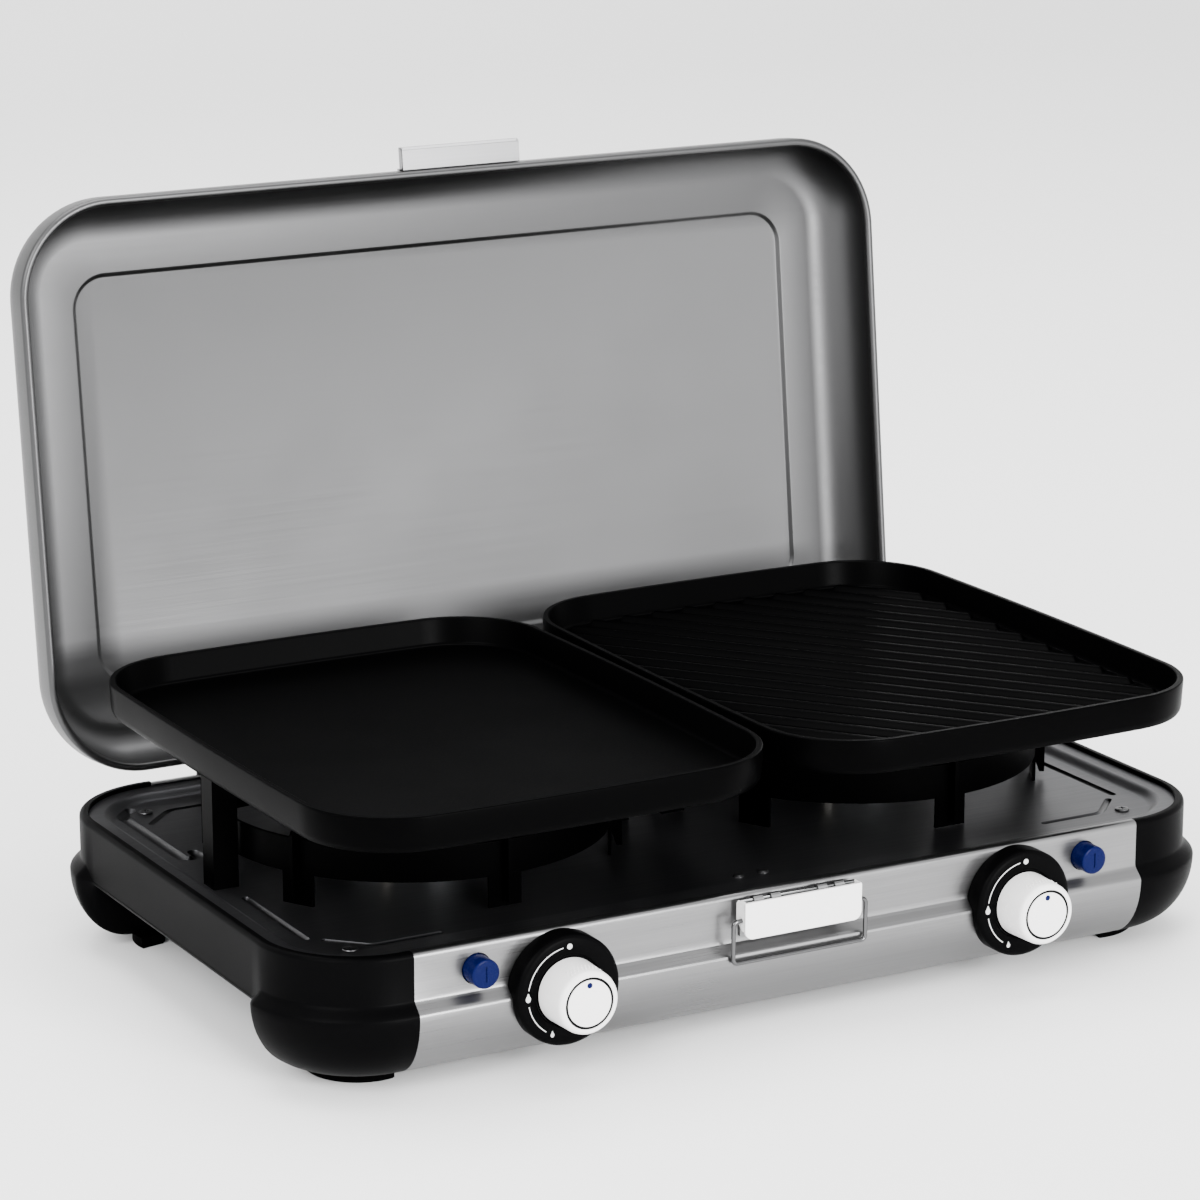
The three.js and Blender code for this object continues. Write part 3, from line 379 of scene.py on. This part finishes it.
def end_casing(side):
    """The moulded end of the case, round both of its corners."""
    half_x, half_y, radius = CASE["half_x"], CASE["half_y"], CASE["radius"]
    stations = [(PANEL_HALF + GAP, -half_y, 0, -1)]
    for turn in [-90 + i * 3.75 for i in range(22)] + [-9.5 + i for i in range(10)]:
        a = math.radians(turn)
        nx, ny = math.cos(a), math.sin(a)
        stations.append((BEND_X + radius * nx, -BEND_Y + radius * ny, nx, ny))
    for i in range(13):
        stations.append((half_x, -115.4 + 0.65 * i, 1, 0))
    stations += [(half_x, y, 1, 0) for y in (-60, 0)]
    full = stations + [(x, -y, nx, -ny) for x, y, nx, ny in reversed(stations[:-1])]
    loops = []
    for x, y, nx, ny in full:
        section = wall_section(boot_amount(y), 2.5, RIM, 48)
        loops.append([(side * (x + nx * out), y + ny * out, z) for out, z in section])
    return skin(loops)


def panel_profile(sign, top):
    return [(sign * (175 + out), z) for out, z in wall_section(1, 1, RIM, 32, top)]


def rod_y(radius, y0, y1, x, z, sides=48):
    return turned([(0, -y0), (radius, -y0), (radius, -y1), (0, -y1)], sides, "y", (x, 0, z))


for name, side in (("left", -1), ("right", 1)):
    piece(f"{name}_casing", end_casing(side), PLASTIC, "case",
          [f"{name}_end_casing"], angle=40)

holes = []
for side in (-1, 1):
    holes.append(rod_y(5, -190, -165, side * KNOB_X, KNOB_Z))
    holes.append(rod_y(8.8, -190, -165, side * BUTTON_X, BUTTON_Z))
front = carve(drawn_x(panel_profile(-1, TOP), -PANEL_HALF, PANEL_HALF), holes)
piece("front_fascia", front, BRUSHED, "case", ["front_panel"], angle=28)
rear = carve(drawn_x(panel_profile(1, TOP - 0.8), -PANEL_HALF, PANEL_HALF),
             [rod_y(7.4, 160, 190, INLET_X, INLET_Z)])
piece("rear_fascia", rear, BRUSHED, "case", ["rear_panel"], angle=28)


def foot(side_x, side_y):
    """A grooved pad, part of a ring round the corner of the case."""
    middle = math.degrees(math.atan2(side_y, side_x))
    shapes = []
    for inner, outer, low, high in ((14, 30.6, 0.8, 6.7), (15, 29.6, 0, 1.0)):
        ring = arc(0, 0, outer, outer, middle - 57, middle + 57, 28)
        ring += arc(0, 0, inner, inner, middle + 57, middle - 57, 28)
        shapes.append(drawn_z(ring, low, high))
    return moved(merged(shapes), Matrix.Translation((side_x * BEND_X, side_y * BEND_Y, 0)))


for end, back in (("front", -1), ("rear", 1)):
    for name, side in (("left", -1), ("right", 1)):
        piece(f"{end}_{name}_pad", foot(side, back), RUBBER, "case",
              [f"{end}_{name}_foot"], bevel=0.3)


# ---------------------------------------------------------------- hob

BURNER_X = 145
SCREW_X, SCREW_Y = 250, 136
HOB_TOP, HOB_EDGE = 73, 77.2


def hole(x, y, radius, sides=24):
    return turned([(0, 60), (radius, 60), (radius, 90), (0, 90)], sides, at=(x, y, 0))


def hob_plate(grooves):
    """Pressed plate: a border that steps down to the hob, with holes and open grooves."""
    slope = [(-14 - 7 * t, HOB_EDGE - 4.2 * t * t * (3 - 2 * t)) for t in [i / 12 for i in range(13)]]
    below = [(out + 0.3, z - 1) for out, z in reversed(slope)]
    edge = [(-4.4, HOB_EDGE - 1), (-4, HOB_EDGE - 0.6), (-4.3, HOB_EDGE)]
    tools = []
    for side in (-1, 1):
        x = side * BURNER_X
        tools += [hole(x, 0, 41, 72), hole(x - 33, -33, 3.6)]
        tools += [hole(side * SCREW_X, back * SCREW_Y, 2.2) for back in (-1, 1)]
    tools += [ribbon(route, width, [(-1, 60), (1, 60), (1, 90), (-1, 90)]) for route, width, _ in grooves]
    return carve(stacked(CASE, below + edge + slope), tools)


def ribbon(route, width, section):
    """A section of (share of half the width, z) swept along a route, with round ends."""
    points = [Vector((x, y, 0)) for x, y in route]
    half = width / 2
    stations = []
    out = (points[0] - points[1]).normalized()
    shares = (0.02, 0.12, 0.3, 0.5, 0.7, 0.87)
    for share in shares:
        stations.append((points[0] + out * half * (1 - share), -out, share))
    for i, point in enumerate(points):
        ahead, behind = points[min(i + 1, len(points) - 1)], points[max(i - 1, 0)]
        stations.append((point, (ahead - behind).normalized(), 1))
    out = (points[-1] - points[-2]).normalized()
    for share in reversed(shares):
        stations.append((points[-1] + out * half * (1 - share), out, share))
    loops = []
    for at, along, share in stations:
        spread = half * math.sqrt(max(0.0, 1 - (1 - share) ** 2))
        across = Vector((-along.y, along.x, 0))
        loops.append([tuple(at + across * (u * spread))[:2] + (z(share) if callable(z) else z,)
                      for u, z in section])
    return skin(loops)


def trough(route, width, depth):
    """The rounded bottom of a pressed groove."""
    steps = 14

    def level(u, drop):
        full = math.cos(u * math.pi / 2) ** 0.8 if abs(u) < 1 else 0
        return lambda share: HOB_TOP - drop - depth * full * min(1, 1.6 * share)

    top = [-1 + 2 * i / steps for i in range(steps + 1)]
    section = [(1.05 * u, level(u, 0.02)) for u in top] + [(1.05 * u, level(u, 0.9)) for u in reversed(top)]
    return ribbon(route, width, section)


def rounded_route(corners, radius=5):
    return [(p.x, p.y) for p in bends([(x, y, 0) for x, y in corners], radius, 8)]


# Each pressed groove is (route, width, depth), drawn for the rear right corner.
LONG = ([(263, 108), (263, 32)], 4.8, 1.8)
CORNER = (rounded_route([(196, 134.5), (236, 134.5), (255, 115.5)]), 4.2, 1.5)
HOOK = (
    [(255, 56)] + arc(260, 51.5, 5, 5, 180, 360, 12) + [(265, 60)]
    + rounded_route([(265, 66), (265, 136), (256, 145)]), 7.5, 2.6,
)
GROOVES = {(-1, 1): [HOOK, CORNER], (-1, -1): [LONG, CORNER], (1, 1): [LONG, CORNER], (1, -1): [LONG, CORNER]}
grooves = []
for (side, back), ways in GROOVES.items():
    for route, width, depth in ways:
        grooves.append(([(side * x, back * y) for x, y in route], width, depth))

piece("hob_top", hob_plate(grooves), HOB, "case", ["hob_plate"], angle=25)
# The groove bottoms take the darker steel, which is painted shade in the pressed grooves.
piece("hob_grooves_painted_shade", merged([trough(*groove) for groove in grooves]), SHADED_GROOVE_STEEL, "case", angle=60)


def screw():
    """A flat countersunk screw with a cross recess."""
    low = HOB_TOP + GAP
    head = [(4.2, low), (4.25, low + 0.25), (4.0, low + 0.7), (3.3, low + 0.95), (2.6, low + 1.05)]
    body = turned([(0, low - 12), (1.7, low - 12), (1.7, low)] + head + [(0, low + 1.1)], 48)
    across = cuboid(-2, 2, -0.5, 0.5, low + 0.1, low + 4)
    along = cuboid(-0.5, 0.5, -2, 2, low + 0.1, low + 4)
    return carve(carve(body, [across]), [along])


for end, back in (("front", -1), ("rear", 1)):
    for name, side in (("left", -1), ("right", 1)):
        shape = spun(screw(), 25 + 40 * side, side * SCREW_X, back * SCREW_Y)
        piece(f"screw_{end}_{name}", shape, SCREW, "case", [f"hob_screw_{end}_{name}"])

RIVET_Y = -131
rivets = [turned([(0, 72.8), (3.4, 72.8), (3.3, 73.5), (2.5, 74.3), (0, 74.6)], 28, at=(x, RIVET_Y, 0))
          for x in (-8, 8)]
piece("hob_rivets", merged(rivets), SCREW, "case")


# ---------------------------------------------------------------- burners and pan supports

# Where the six feet of a pan support stand, in degrees.
ARMS = (30, 90, 150, 210, 270, 330)


def burner_body():
    ring = [(11, 60), (13.5, 60), (13.5, 65), (24, 68.4), (36, 73), (38, 76), (38, 88), (33.5, 88),
            (33.5, 76), (11, 68)]
    slots = [spun(cuboid(30, 40, -1, 1, 83, 90), i * 15 + 7.5) for i in range(24)]
    return carve(turned(ring, 96), slots)


def burner_cap():
    low = 88.3
    return turned([(0, low), (39, low), (39.5, low + 0.6), (39.5, low + 1.4), (38.8, low + 2.6),
                   (36, low + 3.6), (30, low + 4.5), (18, low + 5), (0, low + 5.2)], 96)


def pan_support():
    """A band on six feet, with a finger over each foot."""
    ring = turned([(113, 91.3), (113, 110.7), (112.7, 111), (111.5, 111), (111.2, 110.7), (111.2, 91.3),
                   (111.5, 91), (112.7, 91)], 144)
    finger = [(46, 112), (48, 115.5), (50.5, 116.5), (117, 116.5), (119, 114.5), (119, 76.5),
              (116, 76.5), (109, 95), (60, 106)]
    shapes = [ring]
    for angle in ARMS:
        shapes.append(spun(drawn_y(finger, -1.1, 1.1), angle))
        shapes.append(spun(cuboid(111.2, 113, -10, 10, 73.3, 92), angle))
    return merged(shapes)


for name, side in (("left", -1), ("right", 1)):
    x = side * BURNER_X
    piece(f"{name}_burner_ring", spun(burner_body(), 0, x), ALUMINIUM, "case",
          [f"{name}_burner_body"])
    piece(f"{name}_burner_lid", spun(burner_cap(), 0, x), ENAMEL, "case",
          [f"{name}_burner_cap"])
    piece(f"{name}_pan_ring", spun(pan_support(), 0, x), ENAMEL, "case",
          [f"{name}_pan_support"], bevel=0.25)


# ---------------------------------------------------------------- cooking plates

PLATE = {"half_x": 137.1, "half_y": 176, "radius": 56, "bow": 1.5}
PLATE_X, PLATE_Y = 141.3, -14.2
PLATE_TOP, PLATE_LOW, PLATE_FLOOR = 159, 138.7, 142.8
RIB_PITCH, RIB_ANGLE = 17.2, -51.5


def tray():
    fillet = [(-9 + 2.6 * math.sin(math.radians(a)), PLATE_FLOOR + 2.6 - 2.6 * math.cos(math.radians(a)))
              for a in (0, 20, 40, 60, 78)]
    return stacked(PLATE, [
        (-6, PLATE_LOW), (-4, PLATE_LOW + 0.1), (-2.2, PLATE_LOW + 0.9), (-1.2, PLATE_LOW + 2.4),
        (-0.7, PLATE_LOW + 5), (0, PLATE_TOP - 1.2), (-0.15, PLATE_TOP - 0.5), (-0.7, PLATE_TOP),
        (-3.1, PLATE_TOP), (-3.7, PLATE_TOP - 0.35), (-4, PLATE_TOP - 1),
    ] + fillet[::-1])


def under_plate(burner, centre):
    """The lugs that stand on the pan support's fingers, and the blocks that hold the legs."""
    shapes = []
    for angle in ARMS:
        shapes.append(spun(cuboid(94, 108, -4, 4, 116.8, 139.5), angle, burner - centre, -PLATE_Y))
    for end in (-1, 1):
        reach = 126.8 if end * burner > 0 else 132.5
        outer = burner + end * reach - centre
        low, high = sorted((outer, outer - end * 10))
        shapes.append(cuboid(low, high, 2.7, 15.2, 112, 139.5))
    return shapes


def inside(x, y, inset):
    """How far (x, y) lies inside the plate's outline drawn in by inset; negative outside."""
    qx = abs(x) - (PLATE["half_x"] - PLATE["radius"])
    qy = abs(y) - (PLATE["half_y"] - PLATE["radius"])
    outside = math.hypot(max(qx, 0), max(qy, 0)) + min(max(qx, qy), 0)
    return PLATE["radius"] - inset - outside


def rib(offset, angle):
    """One rib across the floor. Its ends slope down where it meets the wall."""
    way = Vector((math.cos(math.radians(angle)), math.sin(math.radians(angle)), 0))
    across = Vector((-way.y, way.x, 0))
    middle = across * offset
    span = [t * 0.5 for t in range(-520, 521)]
    held = [t for t in span if inside(middle.x + way.x * t, middle.y + way.y * t, 10.5) > 0]
    if len(held) < 24:
        return None
    first, last = held[0], held[-1]
    loops = []
    for t, rise in ((first, 0.15), (first + 1.2, 0.7), (first + 3, 1),
                    (last - 3, 1), (last - 1.2, 0.7), (last, 0.15)):
        at = middle + way * t
        top = PLATE_FLOOR + 3.6 * rise
        section = [(-3.1, PLATE_FLOOR - 0.6), (-2.2, PLATE_FLOOR + 2.2 * rise), (-1.5, top - 0.35 * rise),
                   (-0.7, top), (0.7, top), (1.5, top - 0.35 * rise), (2.2, PLATE_FLOOR + 2.2 * rise),
                   (3.1, PLATE_FLOOR - 0.6)]
        loops.append([tuple(at + across * u)[:2] + (z,) for u, z in section])
    return skin(loops)


for name, side in (("griddle", -1), ("grill", 1)):
    centre = side * PLATE_X
    shapes = [tray()] + under_plate(side * BURNER_X, centre)
    if side > 0:
        shapes += [r for r in (rib(i * RIB_PITCH, RIB_ANGLE) for i in range(-15, 16)) if r]
    shape = moved(merged(shapes), Matrix.Translation((centre, PLATE_Y, 0)))
    piece(f"{name}_tray", shape, NONSTICK, name, [f"{name}_plate"], angle=30)


# ---------------------------------------------------------------- lid

# The lid is drawn shut and swung open about its hinge line.
HINGE = Vector((0, 173.3, 82))
OPEN = math.radians(96.3)
SWING = Matrix.Translation(HINGE) @ Matrix.Rotation(-OPEN, 4, "X") @ Matrix.Translation(-HINGE)


def lid_shell():
    rim, crown, fillet = 80.5, 40, 27
    outer = arc(-fillet, 13, fillet, fillet, 90, 0, 18)
    inner = arc(-fillet, 13, fillet - 1, fillet - 1, 0, 90, 18)
    hem = arc(-2.5, 2.5, 2.5, 2.5, 0, -180, 12) + arc(-3.7, 3.7, 1.3, 1.3, 180, 45, 6)
    step = [(-46 - 3.2 * t, crown + 1.9 * t * t * (3 - 2 * t)) for t in [i / 8 for i in range(9)]]
    stations = step[::-1] + outer + hem + [(-1.4, 4.6), (-1, 5.4)] + inner
    stations += [(out - 0.3, up - 1) for out, up in step]
    loops = []
    for out, up in stations:
        radius = 58 if out > -40 else 68  # the pressed panel has rounder corners than the rim
        loops.append([(x, y, rim + up) for x, y in outline(289.7, 169.2, radius, out)])
    return skin(loops)


piece("lid_pressing", moved(lid_shell(), SWING), LID, "lid", ["lid_shell"], angle=40)


def keeper():
    back, half, low = -169.5, 39.6, 83.5
    front = back - 14
    profile = [(back, low + 0.4), (back, low + 8.5), (back - 1.2, low + 8.5), (back - 1.2, low + 2.4),
               (back - 2.4, low + 1.2), (front + 2.4, low + 1.2), (front + 1.2, low + 2.4),
               (front + 1.2, low + 5.2), (front, low + 5.2), (front, low + 1.6), (front + 1.6, low),
               (back - 0.4, low)]
    shapes = [drawn_x(profile, -half, half)]
    for side in (-1, 1):
        x0, x1 = sorted((side * half, side * (half - 1.2)))
        shapes.append(cuboid(x0, x1, front + 0.4, back, low + 0.2, low + 5.2))
    return merged(shapes)


piece("keeper", moved(keeper(), SWING), KEEPER, "lid", ["lid_keeper"], bevel=0.25)


# ---------------------------------------------------------------- controls


def bezel_face(side):
    profile = [(5.5, 170), (31, 170), (31, 185.6), (30.6, 186.6), (29.6, 187.5), (28.4, 188),
               (20.6, 188), (20.1, 187.8), (19.6, 186.8), (5.5, 186.8)]
    disc = turned(profile, 120, "y", (side * KNOB_X, 0, KNOB_Z))
    section = panel_profile(-1, TOP)[:34]
    behind = [(y - GAP, z) for y, z in section] + [(-140, 0), (-140, 90), (-175 + RIM, 90)]
    return carve(disc, [drawn_x(behind, side * KNOB_X - 40, side * KNOB_X + 40)])


def flat_y(points, y0, y1, x, z):
    return moved(drawn_y(points, y0, y1), Matrix.Translation((x, 0, z)))


def on_dial(radius, clock):
    """A place on the dial's face. clock is in degrees from the top, anticlockwise."""
    a = math.radians(90 + clock)
    return radius * math.cos(a), radius * math.sin(a)


def band(radius, width, start, end, steps=40):
    outer = [on_dial(radius + width / 2, start + (end - start) * i / steps) for i in range(steps + 1)]
    inner = [on_dial(radius - width / 2, end + (start - end) * i / steps) for i in range(steps + 1)]
    return outer + inner


def flame(cx, cz, scale):
    """A small drop with its point upwards."""
    points = []
    for i in range(24):
        a = 2 * math.pi * i / 24
        r = 1 - 0.28 * math.sin(a)
        lift = 0.9 * max(0.0, math.sin(a)) ** 6
        points.append((cx + scale * 0.82 * r * math.cos(a), cz + scale * (r * math.sin(a) + lift)))
    return points


def dial_marks(side):
    """A dot for off and two flames, with an arc between each, printed on the dial."""
    ring = 25
    top_x, top_z = on_dial(ring, 0)
    dot = [(top_x + 1.55 * math.cos(a), top_z + 1.55 * math.sin(a))
           for a in (2 * math.pi * i / 28 for i in range(28))]
    marks = [dot, band(ring, 0.5, 9, 80), band(ring, 0.5, 101, 145),
             flame(*on_dial(ring, 90), 1.75), flame(*on_dial(ring, 155), 1.25)]
    return merged([flat_y(mark, -188.12, -187.9, side * KNOB_X, KNOB_Z) for mark in marks])


def knob_shape():
    back, front = 187.1, 210
    profile = [(0, back + 14), (3.4, back + 14), (3.4, back), (18.2, back), (18.6, back + 0.5),
               (18.5, back + 3), (17.9, front - 3), (17.5, front - 1.4), (16.9, front - 0.5),
               (16.1, front), (14.5, front), (14.4, front - 0.9), (13.0, front - 0.9), (12.9, front),
               (0, front + 0.05)]
    return turned(profile, 120, "y")


def knob_dots():
    """Rows of small raised dots round the knob's top."""
    radius = 18.15
    ball = turned([(0, -0.35), (0.45, -0.1), (0.5, 0), (0.45, 0.1), (0, 0.35)], 10)
    shapes = []
    for row, along in enumerate((200.5, 203, 205.5)):
        for i in range(9):
            a = math.radians(90 + (i - 4) * 7 + (row % 2) * 3.5)
            at = (radius * math.cos(a), -along, radius * math.sin(a))
            shapes.append(moved(ball, Matrix.Translation(at)))
    return merged(shapes)


def button_shape(x):
    profile = [(0, 169), (8.2, 169), (8.2, 184.6), (8.0, 185.4), (7.4, 185.9), (6.9, 186), (0, 186)]
    slot = cuboid(x - 0.55, x + 0.55, -190, -185.4, BUTTON_Z - 4.2, BUTTON_Z + 4.2)
    return carve(turned(profile, 64, "y", (x, 0, BUTTON_Z)), [slot])


for name, side in (("left", -1), ("right", 1)):
    piece(f"{name}_bezel", bezel_face(side), BEZEL, "case", [f"{name}_dial_bezel"])
    piece(f"{name}_dial_marks", dial_marks(side), MARK, "case")
    at = Matrix.Translation((side * KNOB_X, 0, KNOB_Z))
    piece(f"{name}_control_knob", moved(knob_shape(), at), WHITE, f"{name}_control",
          [f"{name}_knob"])
    piece(f"{name}_knob_dots", moved(knob_dots(), at), WHITE, f"{name}_control")
    groove = turned([(13.0, 209.2), (14.42, 209.2), (14.42, 209.6), (13.0, 209.6)], 120, "y")
    piece(f"{name}_knob_groove", moved(groove, at), DARK, f"{name}_control")
    dot = turned([(0, 209.9), (1.6, 209.9), (1.6, 210.12), (0, 210.12)], 36, "y", (0, 0, 10))
    piece(f"{name}_knob_dot", moved(dot, at), BLUE, f"{name}_control")
    piece(f"{name}_spark_button", button_shape(side * BUTTON_X), BLUE, f"{name}_button",
          [f"{name}_igniter_button"])


# ---------------------------------------------------------------- latch

LEVER_PIVOT = (0, -180.5, 77)
BAIL_Y, BAIL_Z = -183.5, 67.5


def lever_shape():
    """A shallow channel with a pivot through its top and holes for the bail in its sides."""
    low, high, half, face = 57.5, 78.4, 37.3, -187.6
    plate = arc(-half + 5, low + 5, 5, 5, 180, 270, 10) + arc(half - 5, low + 5, 5, 5, 270, 360, 10)
    plate += arc(half - 1, high - 1, 1, 1, 0, 90, 4) + arc(-half + 1, high - 1, 1, 1, 90, 180, 4)
    pivot_bore = [(0, -36.95), (1.8, -36.95), (1.8, 36.95), (0, 36.95)]
    bail_bore = [(0, -50), (1.45, -50), (1.45, 50), (0, 50)]
    turn = Matrix.Rotation(math.pi / 2, 4, "Y")
    bores = [moved(turned(pivot_bore, 32), Matrix.Translation(LEVER_PIVOT) @ turn),
             moved(turned(bail_bore, 32), Matrix.Translation((0, BAIL_Y, BAIL_Z)) @ turn)]
    wing = [(face + 0.4, low + 4.4), (face + 4, low + 4.4), (-178, low + 9), (-178, high - 2),
            (-180, high), (face + 0.4, high)]
    shapes = [drawn_y(plate, face, face + 1.5)]
    for side in (-1, 1):
        x0, x1 = sorted((side * half, side * (half - 1.5)))
        shapes.append(carve(drawn_x(wing, x0, x1), bores))
    return merged(shapes)


piece("lever", lever_shape(), WHITE, "lever", ["latch_lever"], bevel=0.35)


def bail_shape():
    low, half, tip = 43.5, 42.4, 32.5
    corners = [(-tip, BAIL_Z), (-half, BAIL_Z), (-half, low), (half, low), (half, BAIL_Z), (tip, BAIL_Z)]
    return rod(bends([(x, BAIL_Y, z) for x, z in corners], 3), 1.25)


piece("bail", bail_shape(), WIRE, "bail", ["latch_bail"], angle=60)


# ---------------------------------------------------------------- finishes of the CAD pieces

FINISHES = {
    "base_tray": (GALVANISED, 0.4), "gas_manifold": (ALUMINIUM, 0), "gas_inlet": (BRASS, 0.3),
    "latch_bracket": (BRUSHED, 0.25), "latch_pin": (CHROME, 0.3),
    "griddle_leg_outer": (ENAMEL, 0.3), "griddle_leg_inner": (ENAMEL, 0.3),
    "grill_leg_outer": (ENAMEL, 0.3), "grill_leg_inner": (ENAMEL, 0.3),
}
for name in ("left", "right"):
    FINISHES.update({
        f"{name}_mixing_tube": (ALUMINIUM, 0), f"{name}_injector": (BRASS, 0.2),
        f"{name}_gas_valve": (BRASS, 0.5), f"{name}_valve_stem": (BRASS, 0.3),
        f"{name}_igniter_body": (PLASTIC, 0.4), f"{name}_spark_electrode": (CERAMIC, 0),
        f"{name}_hinge_case_leaf": (BRUSHED, 0.25), f"{name}_hinge_lid_leaf": (BRUSHED, 0.25),
        f"{name}_hinge_pin": (CHROME, 0.2),
    })
for name, (material, bevel) in FINISHES.items():
    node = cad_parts[name]
    node.data.materials.clear()
    node.data.materials.append(material)
    weld = node.modifiers.new("weld", "WELD")
    weld.merge_threshold = 1e-6
    if bevel:
        round_edges(node, bevel, 35)


# ---------------------------------------------------------------- stage, light, camera


def backdrop():
    """A pale floor that curves up behind the object."""
    profile = [(-6.0, 0.0), (3.2, 0.0)]
    profile += [(3.2 + 2.2 * math.sin(math.radians(a)), 2.2 - 2.2 * math.cos(math.radians(a)))
                for a in range(6, 91, 6)]
    profile.append((5.4, 9.0))
    verts, faces = [], []
    for y, z in profile:
        verts += [(-9.0, y, z), (9.0, y, z)]
    for i in range(len(profile) - 1):
        faces.append((2 * i, 2 * i + 1, 2 * i + 3, 2 * i + 2))
    mesh = bpy.data.meshes.new("backdrop")
    mesh.from_pydata(verts, [], faces)
    mesh.shade_smooth()
    obj = placed("backdrop", mesh)
    obj.data.materials.append(surface("pale_floor", (0.9, 0.9, 0.9), 0.7, specular=0.2, grain=400, tint=0.01))


def softbox(name, at, aim, width, height, power):
    light = bpy.data.lights.new(name, "AREA")
    light.shape = "RECTANGLE"
    light.size, light.size_y = width, height
    light.energy = power
    obj = placed(name, light)
    obj.location = at
    obj.rotation_euler = (Vector(aim) - Vector(at)).to_track_quat("-Z", "Y").to_euler()


backdrop()
softbox("key", (0.6, -3.2, 0.9), (-0.25, 0, 0.2), 1.0, 1.4, 190)
softbox("side", (-2.6, -1.6, 2.2), (0, 0, 0.1), 1.8, 1.8, 120)
softbox("top", (0.2, 0.6, 3.2), (0, 0, 0), 3.0, 2.0, 160)

world = bpy.data.worlds.new("studio")
bpy.context.scene.world = world
world.use_nodes = True
world.node_tree.nodes["Background"].inputs["Color"].default_value = (1, 1, 1, 1)
world.node_tree.nodes["Background"].inputs["Strength"].default_value = 2.0

lens = bpy.data.cameras.new("camera")
lens.lens = 127.58
lens.sensor_width = 36
lens.clip_start, lens.clip_end = 0.05, 100
camera = placed("camera", lens)
camera.location = (-1.1695, -2.0558 + SHIFT_Y * MM, 0.8272)
tilt, turn = 14.841, -29.148
camera.rotation_euler = (math.radians(90 - tilt), 0, math.radians(turn))
bpy.context.scene.camera = camera
